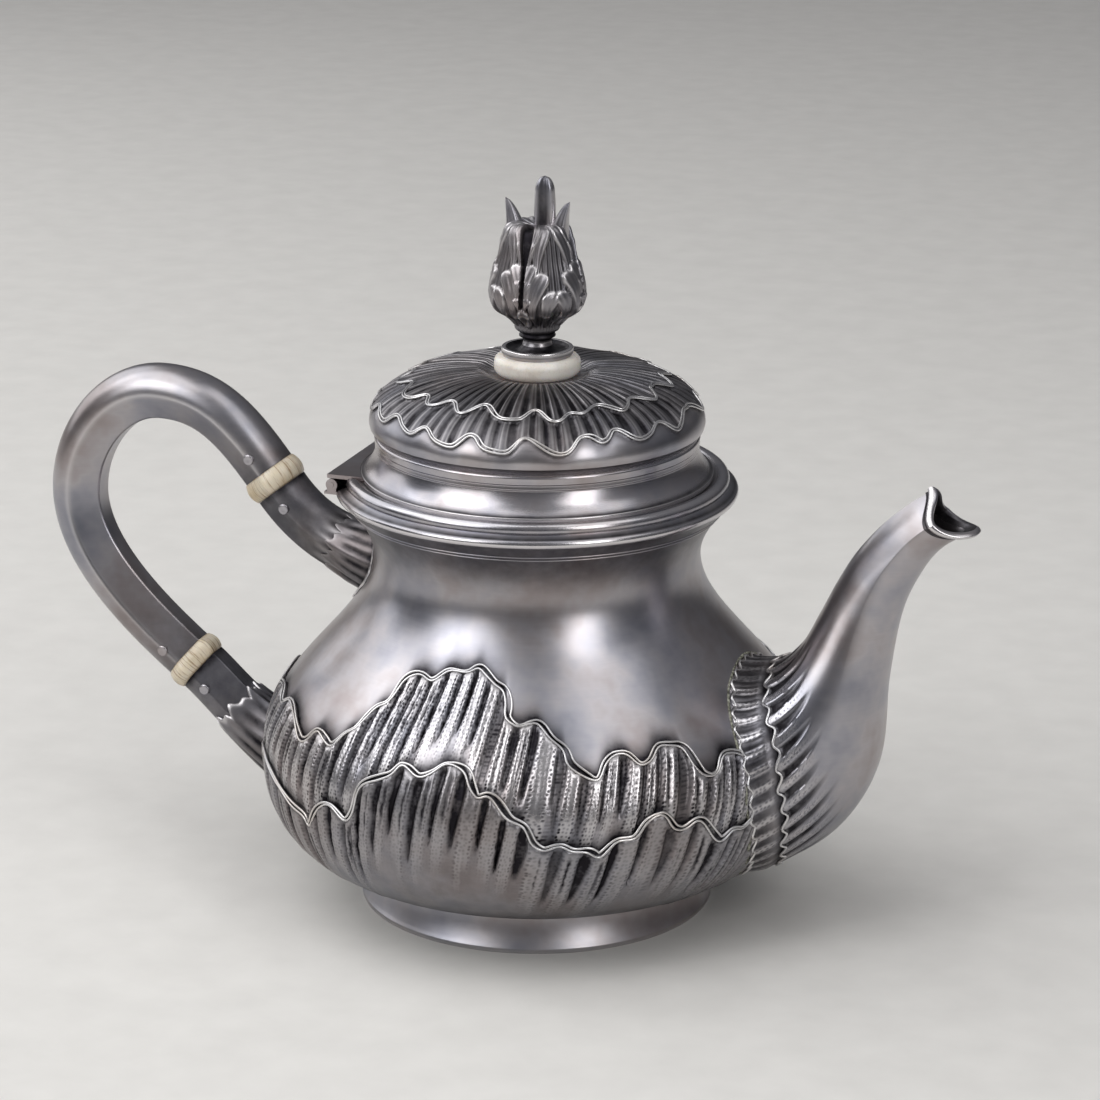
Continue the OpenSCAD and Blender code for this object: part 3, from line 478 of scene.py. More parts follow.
class Ridge:
    """A wavy edge round a turned surface, and the flutes that hang from its crests."""

    def __init__(self, outline, points, round_r, flute_gap, height_is_s=False):
        half = np.asarray(points, float)
        whole = np.vstack([half, (half * [-1, 1])[::-1][1:]])
        line = thread(whole, RIDGE_STEPS)
        if not height_is_s:
            line[:, 1] = outline.s_at_height(line[:, 1])
        soft = np.hanning(RIDGE_SOFT + 2)[1:-1] / np.hanning(RIDGE_SOFT + 2).sum()
        padded = np.pad(line, ((RIDGE_SOFT // 2, RIDGE_SOFT // 2), (0, 0)), "edge")
        line = np.stack([np.convolve(padded[:, k], soft, "valid") for k in (0, 1)], 1)
        self.line, self.round_r = line, round_r
        self.angles = np.maximum.accumulate(line[:, 0])
        self.flutes = self.crests(flute_gap)

    def s(self, angle):
        return np.interp(angle, self.angles, self.line[:, 1])

    def flat(self):
        """The edge unrolled, in millimetres."""
        return np.stack([np.radians(self.line[:, 0]) * self.round_r, self.line[:, 1]], 1)

    def crests(self, gap):
        """Places of the flutes' axes, in degrees: where the edge bulges upwards, and evenly between."""
        flat = self.flat()
        arc = arc_lengths(flat)
        even = np.linspace(0, arc[-1], int(arc[-1] / CREST_STEP))
        x, s = np.interp(even, arc, flat[:, 0]), np.interp(even, arc, flat[:, 1])
        turn = np.unwrap(np.arctan2(np.gradient(s), np.gradient(x)))
        bend = np.convolve(np.gradient(turn, even), np.hanning(11) / np.hanning(11).sum(), "same")
        places = [x[0]]
        for i in range(CREST_SPAN, len(even) - CREST_SPAN):
            sharpest = bend[i] == bend[i - CREST_SPAN:i + CREST_SPAN + 1].min()
            if bend[i] < CREST_BEND and sharpest and x[i] - places[-1] > NEAREST_FLUTES * gap:
                places.append(x[i])
        places.append(x[-1])
        out = []
        for a, b in zip(places, places[1:]):
            n = max(1, math.ceil((b - a) / (WIDEST_FLUTES * gap)))
            out += [a + (b - a) * k / n for k in range(n)]
        return np.degrees(np.array(out + [places[-1]]) / self.round_r)

    def phase(self, angle):
        """Whole numbers on the flutes' axes."""
        return np.interp(angle, self.flutes, np.arange(len(self.flutes)))


def flute_profile(phase, sharp):
    """1 on a flute's axis and 0 on the rib between two."""
    return cosine_wave(phase) ** sharp


def chance(index, seed):
    """A steady value from 0 to 1 for each whole number."""
    return np.modf(np.abs(np.sin(np.round(index) * 12.9898 + seed * 78.233) * 43758.5453))[0]


UPPER_FLUTE, LOWER_FLUTE = 5.2, 6.0        # millimetres from flute to flute
UPPER_DEPTH, LOWER_DEPTH = 0.8, 0.9        # millimetres
LEAST_ROOM, LOWER_REACH = 6.0, 21.0        # millimetres down a layer
PUNCH_ROWS = 6  # rows of punched dots to a flute, the boldest beside its hollow
UPPER = Ridge(BODY, UPPER_RIDGE, BELLY_R, UPPER_FLUTE)
LOWER = Ridge(BODY, LOWER_RIDGE, BELLY_R, LOWER_FLUTE)


def lean(angle):
    """How far the flutes' tops lean towards the spout for each millimetre of height, least at the handle."""
    return -np.sign(angle) * np.tan(np.radians(16 - 15 * ease(35, 150, np.abs(angle))))


def hung_from(ridge, angle, s):
    """Millimetres down from a ridge's edge along the leaning flutes, and the flutes' phase there."""
    turn = np.degrees(lean(angle) / ridge.round_r)
    at = angle + turn * np.maximum(ridge.s(angle) - s, 0)
    at = angle + turn * np.maximum(ridge.s(at) - s, 0)
    return ridge.s(at) - s, ridge.phase(at)


def fluted_layer(ridge, angle, s, reach, depth):
    """The layer that hangs from a ridge: its lift, and how hollow, worn and punched it is. Each flute has a
    round top and steep sides, and thins out to a point. By chance they differ in width and length."""
    down, phase = hung_from(ridge, angle, s)
    wide, long, strong = (chance(phase, seed) for seed in (3.0, 5.0, 7.0))
    share = np.clip(down / (reach * (0.6 + 0.55 * long)), 0, 2)
    wave = 0.5 + 0.5 * np.cos(2 * math.pi * (phase - np.round(phase)) * (0.9 + 0.5 * wide))
    bar = (0.36 + 0.5 * share**0.8 + 0.55 * np.exp(-np.maximum(down - 0.5, 0) / 0.6)
           + 0.4 * ease(0.8, 1.3, share))
    groove = ease(bar, bar + 0.26, wave) * (0.7 + 0.3 * strong)
    fade = 1 - ease(0.75, 1.4, share)
    # A thin line along the band between two hollows, and fine streaks all over
    thin = cosine_wave(phase - 0.5 - 0.2 * (strong - 0.5))
    crack = ease(0.9, 0.98, thin) * ease(1.0, 2.5, down) * (1 - ease(0.4, 0.9, share)) * (long > 0.25)
    streak = np.cos(2 * math.pi * (phase * 3 + 0.15 * np.sin(down / 3))) * (1 - groove)
    lift = 0.5 * np.exp(-np.maximum(down, 0) / 5) - depth * groove * (0.55 + 0.45 * wave) - 0.22 * crack
    lift = lift + (0.16 * (1 - wave) + 0.05 * streak) * fade
    hollow = np.clip(0.78 * groove + 0.6 * crack + 0.1 * np.maximum(-streak, 0) * fade, 0, 1)
    rib = ease(0.3, 0.8, 1 - wave) * fade
    worn = 0.5 * rib * (1 - crack)
    beside = np.exp(-((np.abs(phase - np.round(phase)) - 1.5 / PUNCH_ROWS) / 0.08)**2)
    punched = (0.25 * groove + (1 - groove) * (0.3 + 0.55 * beside)) * ease(0.5, 1.5, down) * fade
    across = phase * PUNCH_ROWS * PUNCH_PITCH
    return lift, hollow, worn, punched, across


def belly_relief(angle, s):
    """Lift, hollow, worn and punched over the belly, and the place across its flutes."""
    room = np.maximum(UPPER.s(angle) - LOWER.s(angle), LEAST_ROOM)
    upper = fluted_layer(UPPER, angle, s, room * 1.15, UPPER_DEPTH)
    lower = fluted_layer(LOWER, angle, s, LOWER_REACH, LOWER_DEPTH)
    above_top, above_low = s - UPPER.s(angle), s - LOWER.s(angle)
    in_upper, in_lower = 1 - ease(-0.45, 0.35, above_top), 1 - ease(-0.45, 0.35, above_low)
    # The smooth metal above each ridge is sunk along it; tarnish and painted shade darken it there
    rim_top, rim_low = np.exp(-np.abs(above_top) / 1.4), np.exp(-np.abs(above_low) / 2.0)
    tarnish_shade_top, tarnish_shade_low = (0.95 * np.exp(-(np.maximum(above - 1.2, 0) / 2.3)**1.3)
                          for above in (above_top, above_low))

    def layered(plain, first, second):
        return plain * (1 - in_upper) + in_upper * ((1 - in_lower) * first + in_lower * second)

    lift = layered(-0.3 * rim_top, upper[0] - 0.35 * rim_low, lower[0])
    # The lower layer stays at least 0.42 dark: painted shade on the underside, over the tarnish in its flutes
    hollow = layered(tarnish_shade_top, np.maximum(0.12 + upper[1], tarnish_shade_low), np.clip(1.3 * lower[1], 0.42, 1))
    # A dark line along the foot of each ridge: painted shadow under its wires, with tarnish in the crevice
    for above in (above_top, above_low):
        hollow = np.maximum(hollow, 0.85 * np.exp(-((above + 0.1) / 0.75)**2))
    # Painted shade: the belly darkens towards its underside
    hollow = np.maximum(hollow, 0.95 * (1 - ease(4, 27, s)))
    worn = layered(0, upper[2] * ease(0.5, 2.5, above_low), lower[2] * 0.4 * ease(8, 22, s))
    punched = layered(0, upper[3] * ease(0.8, 2.2, above_low), 0.3 * lower[3] * ease(6, 16, s))
    across = layered(upper[4], upper[4], lower[4])
    return lift, hollow, worn, punched, across


BODY_COLUMNS, NECK_COLUMNS = 896, 112
RELIEF_TOP_Z = 68
BACKING = 0.9  # extra wall behind the chasing, so that no hollow cuts through
NECK_TARNISH, INSIDE_TARNISH = 0.62, 0.55


def body_piece():
    """Body in one closed skin: chased belly, plain neck and mouth, inside and floor."""
    relief_top = BODY.s_at_height(RELIEF_TOP_Z)
    # Rows are wider apart under the belly, where the chasing has faded
    rows = np.concatenate([np.linspace(0, 10, 9, endpoint=False), np.linspace(10, relief_top, 88)])
    angle, s = np.meshgrid(-180 + degrees_round(BODY_COLUMNS), rows)
    lift, hollow, worn, punched, across = belly_relief(angle, s)
    settle = ease(0, 5, s) * (1 - ease(relief_top - 4, relief_top - 1, s))
    outer = BODY.surface(angle, s, lift * settle)
    # Plain rows with fewer columns: neck, mouth's edge, inside and floor
    top = np.linspace(relief_top, BODY.s[-1], 34)[1:]
    back = np.linspace(BODY.s[-1] - 0.6, 0.5, 60)
    thick = WALL + BACKING * (1 - ease(relief_top, relief_top + 6, back))
    outline = [BODY.at(v) for v in top] + [BODY.at(v) - BODY.normal(v) * t for v, t in zip(back, thick)]
    rings = list(outer) + [ring(r, z, NECK_COLUMNS) for r, z in outline]
    rings += [ring(0, outline[-1][1], 1), ring(0, FOOT_H, 1)]
    neck = NECK_TARNISH * ease(NECK_Z - 7, MOUTH_Z - 1, BODY.at(top)[:, 1])
    plain = np.repeat(np.concatenate([neck, np.full(len(back), INSIDE_TARNISH)]), NECK_COLUMNS)
    marks = {"hollow": np.concatenate([np.ravel(hollow), plain]), "worn": worn * settle,
             "punched": punched * settle}
    return lofted("body", [rings], CHASED, marks, np.stack([across, s], -1))


# ---- Wires along the ridges ----

WIRE_SIDES = 8
LINE_STEP = 0.35  # millimetres between the points of a ridge's lines


def wire_tree():
    """Geometry Nodes that run a wire along an edge, for the two raised lines that finish each layer."""
    tree = bpy.data.node_groups.new("chased_wire", "GeometryNodeTree")
    face = tree.interface
    face.new_socket("Edge", in_out="INPUT", socket_type="NodeSocketGeometry")
    radius = face.new_socket("Wire radius", in_out="INPUT", socket_type="NodeSocketFloat")
    sides = face.new_socket("Sides", in_out="INPUT", socket_type="NodeSocketInt")
    finish = face.new_socket("Finish", in_out="INPUT", socket_type="NodeSocketMaterial")
    face.new_socket("Wire", in_out="OUTPUT", socket_type="NodeSocketGeometry")
    made = {}
    for key, kind in (("in", "NodeGroupInput"), ("line", "GeometryNodeMeshToCurve"),
                      ("thickness", "GeometryNodeInputNamedAttribute"),
                      ("size", "GeometryNodeSetCurveRadius"),
                      ("ring", "GeometryNodeCurvePrimitiveCircle"), ("sweep", "GeometryNodeCurveToMesh"),
                      ("real", "GeometryNodeRealizeInstances"), ("soft", "GeometryNodeSetShadeSmooth"),
                      ("coat", "GeometryNodeSetMaterial"), ("out", "NodeGroupOutput")):
        made[key] = tree.nodes.new(kind)
    made["thickness"].data_type = "FLOAT"
    made["thickness"].inputs["Name"].default_value = "thickness"
    made["sweep"].inputs["Fill Caps"].default_value = True
    chain = [("in", "Edge", "line", 0), ("line", 0, "size", "Curve"), ("thickness", 0, "size", "Radius"),
             ("size", 0, "sweep", "Curve"), ("in", "Wire radius", "ring", "Radius"),
             ("in", "Sides", "ring", "Resolution"), ("ring", 0, "sweep", "Profile Curve"),
             ("sweep", 0, "soft", 0), ("soft", 0, "real", 0), ("real", 0, "coat", 0),
             ("in", "Finish", "coat", "Material"), ("coat", 0, "out", 0)]
    for source, output, target, socket in chain:
        tree.links.new(made[source].outputs[output], made[target].inputs[socket])
    return tree, radius.identifier, sides.identifier, finish.identifier


WIRES = wire_tree()


def wires(name, lines, radius, finish=WORN, closed=False, thinner=1.0):
    """One mesh of swept wires. lines are lists of points in millimetres, and each wire's radius is thinner
    times that of the one before."""
    points, edges, thick = [], [], []
    for place, line in enumerate(lines):
        first, count = len(points), len(line)
        points += [tuple(p) for p in np.asarray(line) * MM]
        edges += [(first + i, first + i + 1) for i in range(count - 1)]
        if closed:
            edges.append((first + count - 1, first))
        thick += [thinner ** place] * count
    mesh = bpy.data.meshes.new(name)
    mesh.from_pydata(points, edges, [])
    thickness = mesh.attributes.new("thickness", "FLOAT", "POINT")
    thickness.data.foreach_set("value", np.asarray(thick, np.float32))
    source = bpy.data.objects.new(name + "_edge", mesh)
    bpy.context.scene.collection.objects.link(source)
    tree, radius_input, sides_input, finish_input = WIRES
    modifier = source.modifiers.new("wire", "NODES")
    modifier.node_group = tree
    modifier[radius_input], modifier[sides_input], modifier[finish_input] = radius * MM, WIRE_SIDES, finish
    solid = evaluated(source)
    bpy.data.objects.remove(source)
    solid.name = name
    return new_piece(name, solid)


def ridge_lines(outline, ridge, lift, gap):
    """The two raised lines of a ridge, gap apart, on the turned surface."""
    arc = arc_lengths(ridge.flat())
    even = np.arange(0, arc[-1], LINE_STEP)
    flat = np.stack([np.interp(even, arc, ridge.flat()[:, k]) for k in (0, 1)], 1)
    along = np.gradient(flat, axis=0)
    along /= np.linalg.norm(along, axis=1)[:, None]
    side = np.stack([-along[:, 1], along[:, 0]], 1)
    # The lines close up over the crests and part on the way down
    slope = np.convolve(along[:, 1], np.ones(9) / 9, "same")
    sway = 0.7 + 0.75 * np.clip(-slope, 0, 1) + 0.4 * np.sin(even / 6.1) * np.sin(even / 2.7 + 1)
    out = []
    for share in (0.0, 1.0):
        line = flat + side * (share * gap * sway)[:, None]
        angle = np.degrees(line[:, 0] / ridge.round_r)
        keep = np.abs(angle) <= 180
        out.append(outline.surface(angle[keep], line[keep, 1], lift))
    return out


# ---- Lid ----

SEAT_Z = MOUTH_Z + 4.2
FLANGE_R, FLANGE_IN_R, FLANGE_TOP = 36.7, 33.0, 93.5
GALLERY_R, GALLERY_Z = 33.3, 100.4
DOME_R, DOME_Z, DOME_H, DOME_EDGE_H = 34.9, 103.0, 11.0, 1.0
CROWN_R, CROWN_Z, DISH_Z, DISH_R = 13.0, 115.0, 113.9, 9.3
LID_FLUTES = 66
DOME_COLUMNS, CROWN_COLUMNS, GALLERY_COLUMNS = 792, 99, 224
OUTER_EDGE_R, INNER_EDGE_R, LID_FLUTE = 32.5, 28.5, 3.0

# Edges of the lid's two fluted layers, as [degrees round from the spout, distance up from the dome's rim]
OUTER_EDGE = [
    (-180, 4.6), (-174, 4.2), (-168, 6.6), (-161, 4.4), (-154, 4.0), (-149, 6.3), (-144, 5.0), (-136, 4.2),
    (-131, 6.8), (-124, 4.9), (-118, 4.2), (-113.5, 6.4), (-108, 4.2), (-101, 3.4), (-98, 4.2), (-95, 6.2),
    (-92.5, 6.0), (-89, 3.9), (-82, 3.2), (-79, 3.9), (-76, 6.2), (-73.5, 6.4), (-69, 4.5), (-64.5, 3.1),
    (-59.5, 3.5), (-55.5, 6.2), (-52, 6.4), (-48.5, 4.9), (-45, 5.4), (-41.5, 7.4), (-36.5, 5.1),
    (-32.5, 4.3), (-27.5, 5.0), (-23, 6.8), (-20, 6.6), (-16, 4.3), (-12, 4.3), (-4, 6.9), (0, 7.0),
]
INNER_EDGE = [
    (-180, 11.6), (-173, 14.3), (-166, 11.2), (-158, 11.6), (-151, 14.4), (-143, 11.2), (-134, 11.2),
    (-128, 14.0), (-122, 11.5), (-116.5, 12.3), (-111.5, 14.6), (-105, 11.6), (-101, 11.7), (-97, 14.2),
    (-93.5, 14.8), (-87, 11.4), (-80, 11.0), (-76, 11.6), (-71, 14.4), (-66, 11.0), (-61, 10.8),
    (-56.5, 12.9), (-51, 12.4), (-45.5, 14.2), (-41, 14.4), (-34, 11.6), (-28.5, 12.7), (-23, 14.9),
    (-15, 12.6), (-10, 12.2), (-4, 15.2), (0, 15.3),
]


def dome_outline():
    a = np.linspace(0, math.pi / 2, 120)
    arch = np.stack([CROWN_R + (DOME_R - CROWN_R) * np.cos(a), DOME_Z + DOME_EDGE_H + DOME_H * np.sin(a)], 1)
    t = np.linspace(0, 1, 24)[1:]
    dip = np.stack([CROWN_R + (DISH_R - CROWN_R) * t,
                    CROWN_Z + (DISH_Z - CROWN_Z) * (1 - (1 + np.cos(math.pi * t)) / 2)], 1)
    return Outline(np.vstack([[[DOME_R - 0.25, DOME_Z]], arch, dip]))


DOME = dome_outline()
OUTER = Ridge(DOME, OUTER_EDGE, OUTER_EDGE_R, LID_FLUTE, height_is_s=True)
INNER = Ridge(DOME, INNER_EDGE, INNER_EDGE_R, LID_FLUTE, height_is_s=True)


def lid_grooves(phase, up, seed):
    """How deep the lid's flutes are, up millimetres above their layer's edge. Each is a little wider or
    narrower than the next, and all start just above the edge."""
    bar = 0.3 + 0.25 * chance(phase, seed) + 0.5 * np.exp(-np.maximum(up - 0.3, 0) / 0.5)
    return ease(bar, bar + 0.35, cosine_wave(phase))


def dome_relief(angle, s):
    """Lift, hollow and worn over the dome. near is 0 beside the finial and 1 away from it."""
    outer, inner = s - OUTER.s(angle), s - INNER.s(angle)
    turn = np.radians(angle)
    phase = angle * LID_FLUTES / 360 + 0.16 * np.sin(turn * 17 + 1) + 0.12 * np.sin(turn * 7)
    in_outer, in_inner = ease(-0.35, 0.35, outer), ease(-0.35, 0.35, inner)
    near = ease(9, 15, DOME.at(s)[..., 0])
    first_groove, second_groove = lid_grooves(phase + 0.45, outer, 9.0), lid_grooves(phase, inner, 4.0)
    sunk_outer, sunk_inner = np.exp(-np.abs(outer) / 1.3), np.exp(-np.abs(inner) / 1.2)
    first = 0.4 * np.exp(-np.maximum(outer, 0) / 3) - 0.3 * first_groove - 0.25 * sunk_inner
    second = 0.4 * np.exp(-np.maximum(inner, 0) / 4) - (0.12 + 0.28 * near) * second_groove
    lift = -0.25 * sunk_outer * (1 - in_outer) + in_outer * ((1 - in_inner) * first + in_inner * second)
    dark_first = np.maximum(0.66 + 0.2 * first_groove, 0.95 * sunk_inner)
    dark_second = 0.6 + 0.06 * near + (0.14 + 0.12 * near) * second_groove
    dark = (1 - in_inner) * dark_first + in_inner * dark_second
    hollow = 0.85 * sunk_outer * (1 - in_outer) + in_outer * dark
    fine = (0.5 + 0.5 * np.cos(2 * math.pi * phase * 3))**3
    groove = first_groove * (1 - in_inner) + second_groove * in_inner
    worn = in_outer * 0.34 * (1 - groove)**3 * fine + 0.14 * (1 - near) * (1 - groove)
    return lift, np.clip(hollow, 0, 1), worn


def dome_piece():
    """Dome of the lid in one closed skin: two fluted layers, the dish under the finial, and the inside."""
    rows = np.linspace(0, DOME.s[-1], 72)
    angle, s = np.meshgrid(-180 + degrees_round(DOME_COLUMNS), rows)
    lift, hollow, worn = dome_relief(angle, s)
    back = np.linspace(DOME.s[-1], 0, 26)
    under = [DOME.at(v) - DOME.normal(v) * WALL for v in back]
    rings = list(DOME.surface(angle, s, lift * ease(0, 2, s)))
    rings += [ring(DISH_R - 1, DISH_Z, CROWN_COLUMNS), ring(0, DISH_Z, 1), ring(0, DISH_Z - WALL, 1)]
    rings += [ring(r, z, CROWN_COLUMNS) for r, z in under]
    return lofted("lid_dome_chased", [rings], SATIN, {"hollow": hollow, "worn": worn})


def gallery_outline():
    """Flange, concave rise and flare of the lid's plain ring."""
    i = np.linspace(0, 1, 48)
    rise = np.stack([FLANGE_R - 0.4 + (GALLERY_R - FLANGE_R + 0.4) * (1 - (1 - i) ** 2.2),
                     FLANGE_TOP + (GALLERY_Z - FLANGE_TOP) * i], 1)
    i = np.linspace(0, 1, 10)[1:]
    flare = np.stack([GALLERY_R + (DOME_R - 0.25 - GALLERY_R) * i ** 1.6,
                      GALLERY_Z + (DOME_Z - GALLERY_Z) * i], 1)
    outer = np.vstack([rise, flare])
    # Two fine turned lines under the flare
    for height in (GALLERY_Z - 0.9, GALLERY_Z - 2.0):
        below_flare = outer[:, 1] < GALLERY_Z + 0.8
        outer[:, 0] += 0.22 * ease(height - 0.15, height + 0.15, outer[:, 1]) * below_flare
    inner = np.stack([np.minimum(outer[:, 0] - WALL, FLANGE_R - 2 * WALL), outer[:, 1]], 1)[::-1]
    low = FLANGE_TOP - 0.95
    edge = rounded([(FLANGE_IN_R, low, 0), (FLANGE_R, low, 0.15), (FLANGE_R, FLANGE_TOP, 0.3),
                    tuple(rise[1]) + (0,)])[:-1]
    return np.vstack([edge, outer[1:], inner])


def gallery_piece():
    line = gallery_outline()
    outside = line[:, 0] > GALLERY_R - 0.05
    foot = np.exp(-((line[:, 1] - FLANGE_TOP - 0.15) / 0.45) ** 2)
    under = ease(DOME_Z - 1.2, DOME_Z, line[:, 1])
    edge = np.exp(-((line[:, 0] - FLANGE_R) / 0.15) ** 2) * (line[:, 1] < FLANGE_TOP + 0.2)
    return turned("lid_gallery_turned", line, TURNED, GALLERY_COLUMNS,
                  {"hollow": outside * np.maximum(0.75 * foot, 0.7 * under), "worn": 0.7 * edge}, crease=70)


# ---- Spout ----
# Stations along the spout as [distance beyond the belly's radius, height], and its half width at each

SPOUT_INNER = np.array([(-16, 54.5), (-6, 56.3), (0.2, 61.8), (4.2, 69.3), (7.4, 76), (11.2, 82.5),
                        (16.2, 88.6), (21.5, 93.5), (27.3, 97.5)])
SPOUT_OUTER = np.array([(-14, 12), (-3, 14.3), (9, 22.6), (16.7, 36.5), (18.4, 55), (21, 70.5), (25.2, 80.2),
                        (29.8, 86), (36.2, 89.8)])
SPOUT_SPREAD = np.array([1.05, 1, 0.78, 0.52, 0.29, 0.14, 0.06, 0.02, 0])
SPOUT_ROOT_W, SPOUT_MOUTH_W, SPOUT_WALL = 20.5, 5.5, 0.9
SPOUT_END, MOUTH_NOTCH, LIP_SHARE = 8.0, 0.5, 0.34
COLLAR_W, COLLAR_T = 6.5, 1.7
COLLAR_FOOT = 0.8  # share of its thickness that the collar has where it meets the body
COLLAR_FLUTE, SPOUT_FLUTE = 3.75, 4.7
HALVINGS = 26  # each halves the distance that a place on the body's wall may be out by
SPOUT_COLUMNS, LIP_COLUMNS, COLLAR_COLUMNS = 320, 256, 512
SPOUT_LINE_POINTS, COLLAR_LINE_POINTS = 700, 800


def between(stations, u):
    """Smooth value at place u along a list of stations, which may run past either end."""
    last = len(stations) - 1
    i = np.clip(np.floor(u).astype(int), 0, last - 1)
    t = u - i
    b, c = stations[i], stations[i + 1]
    first, final = i == 0, i == last - 1
    if stations.ndim > 1:
        t, first, final = t[..., None], first[..., None], final[..., None]
    a = np.where(first, 2 * b - c, stations[np.maximum(i - 1, 0)])
    d = np.where(final, 2 * c - b, stations[np.minimum(i + 2, last)])
    return b + (c - a) * t / 2 + (2 * a - 5 * b + 4 * c - d) * t**2 / 2 + (3 * b - a - 3 * c + d) * t**3 / 2


def from_outer_edge(a):
    """Degrees round the spout from its outer edge, alike on both sides."""
    return np.abs((a + 180) % 360 - 180)


def spout_point(u, a, off):
    """Point at station u and angle a in degrees, 0 on the outer edge, off outside the surface. Towards the
    mouth the inner half becomes a ridged roof with a crease along each side."""
    u, a, off = np.broadcast_arrays(np.asarray(u, float), np.asarray(a, float), off)
    inner, outer = between(SPOUT_INNER, u), between(SPOUT_OUTER, u)
    half, middle = (outer - inner) / 2, (outer + inner) / 2
    length = np.linalg.norm(half, axis=-1)
    width = SPOUT_MOUTH_W + (SPOUT_ROOT_W - SPOUT_MOUTH_W) * between(SPOUT_SPREAD, u)
    c, s = np.cos(np.radians(a)), np.sin(np.radians(a))
    roof = np.clip((from_outer_edge(a) - 90) / 90, 0, 1)
    sharp = 0.8 * ease(3.0, 7.6, u) * (roof > 0)
    c = c * (1 - sharp) - roof * sharp
    s = s * (1 - sharp) + np.sign(s) * (1 - roof) * sharp
    # The lower half of the mouth is fuller than round
    full = 1 - 0.22 * ease(6.2, 8.0, u) * (roof <= 0)
    c, s = np.sign(c) * np.abs(c)**full, np.sign(s) * np.abs(s)**full
    p = middle + half / length[..., None] * ((length + off) * c)[..., None]
    return np.stack([BELLY_R + p[..., 0], (width + off) * s, p[..., 1]], -1)


def off_body(p, sunk):
    """Distance of points outside the body's wall, counted from sunk within it."""
    z, step = p[..., 2], 0.1

    def radius(height):
        return np.interp(height, BODY.points[:, 1], BODY.points[:, 0])

    slope = (radius(z + step) - radius(z - step)) / (2 * step)
    return (np.hypot(p[..., 0], p[..., 1]) - radius(z)) / np.sqrt(1 + slope**2) + sunk


def solve(g, out, inside):
    """Where g changes from above nothing to below it, between two arrays."""
    for _ in range(HALVINGS):
        middle = (out + inside) / 2
        outside = g(middle) > 0
        out, inside = np.where(outside, middle, out), np.where(outside, inside, middle)
    return middle


def spout_root(a, off, sunk=0.8):
    a, off = np.broadcast_arrays(np.asarray(a, float), off)
    return solve(lambda u: off_body(spout_point(u, a, off), sunk), np.full(a.shape, 3.0), np.zeros(a.shape))


def spout_mouth(a):
    return SPOUT_END - MOUTH_NOTCH * np.sin(np.radians(a)) ** 2


def station_length(u, a):
    """Millimetres along the spout in one station."""
    return 2 * np.linalg.norm(spout_point(u + 0.5, a, 0) - spout_point(u, a, 0), axis=-1)


def collar_end(a):
    root = spout_root(a, 0.0, 0.0)
    return root + COLLAR_W / station_length(root, a)


def around(points):
    """Distances round a closed line of points, from its first one."""
    return arc_lengths(np.vstack([points, points[:1]]))[:-1]


class Scallops:
    """Flutes set evenly round the spout, both sides alike, counted from the angle 0."""

    def __init__(self, edge, pitch):
        self.a = np.linspace(0, 180, 361)
        self.arc = arc_lengths(spout_point(edge(self.a), self.a, 0))
        self.count = round(self.arc[-1] / pitch)

    def phase(self, a):
        return self.millimetres(a) / self.arc[-1] * self.count

    def millimetres(self, a):
        return np.interp(from_outer_edge(a), self.a, self.arc)


SPOUT_EDGE = Scallops(collar_end, SPOUT_FLUTE)
COLLAR_EDGE = Scallops(lambda a: spout_root(a, COLLAR_T, 0.0), COLLAR_FLUTE)


SPOUT_FLUTE_REACH = 17.0  # millimetres up the outer side, and less on the inner one


def spout_wave(a):
    """How far the spout's chased edge strays along it, in millimetres."""
    phase = SPOUT_EDGE.phase(a)
    return 0.65 * np.cos(2 * math.pi * phase) + 0.25 * np.sin(phase * 1.9)


def spout_piece():
    """Plain swan neck, with flutes that run up it from the collar and fade out."""
    a = degrees_round(SPOUT_COLUMNS)
    root, finish, edge = spout_root(a, 0.0), spout_mouth(a) - LIP_SHARE, collar_end(a)
    # Rows are closer over the flutes
    t = np.concatenate([np.linspace(0, 0.36, 74), np.linspace(0.36, 1, 66)[1:]])[:, None]
    u = root + (finish - root) * t
    steps = np.linalg.norm(np.diff(spout_point(u, a, 0.0), axis=0), axis=-1)
    along = np.vstack([np.zeros((1, len(a))), np.cumsum(steps, axis=0)])
    edge_at = np.array([np.interp(edge[i], u[:, i], along[:, i]) for i in range(len(a))])
    beyond = along - edge_at + spout_wave(a)
    phase = SPOUT_EDGE.phase(a) + 0.5
    high = from_outer_edge(a) / 180
    reach = (SPOUT_FLUTE_REACH - 5.5 * high) * (0.8 + 0.4 * chance(phase, 5.0))
    share = np.clip(beyond / reach, 0, 1)
    fade = ease(0.0, 0.8, beyond) * (1 - ease(0.3, 1.0, share))
    bar = 0.22 + 0.5 * share
    deep = ease(bar, bar + 0.45, cosine_wave(phase)) * fade
    on = ease(-0.3, 0.3, beyond)
    lift = on * (0.7 * np.exp(-np.maximum(beyond, 0) / 4) - 0.55 * deep) - 0.1 * (1 - on)
    hollow = np.clip(on * 0.85 * deep + (1 - on) * 0.8 + 0.5 * np.exp(-np.abs(beyond) / 0.6), 0, 1)
    rib = (1 - flute_profile(phase, 0.45)) * fade
    inner = spout_point(root + (finish - root) * np.linspace(1, 0, 40)[:, None], a, -SPOUT_WALL)
    flat = np.stack([np.broadcast_to(SPOUT_EDGE.millimetres(a), beyond.shape), beyond], -1)
    punched = 0.55 * rib * ease(0.8, 2.0, beyond)
    return lofted("spout_chased", [list(spout_point(u, a, lift)) + list(inner)], CHASED,
                  {"hollow": hollow, "worn": 0.5 * rib**2, "punched": punched}, flat)


def spout_edge_line(off):
    """Line along the spout's chased edge, off outside its surface."""
    a = degrees_round(SPOUT_LINE_POINTS)
    u = collar_end(a)
    return spout_point(u - spout_wave(a) / station_length(u, a), a, off)


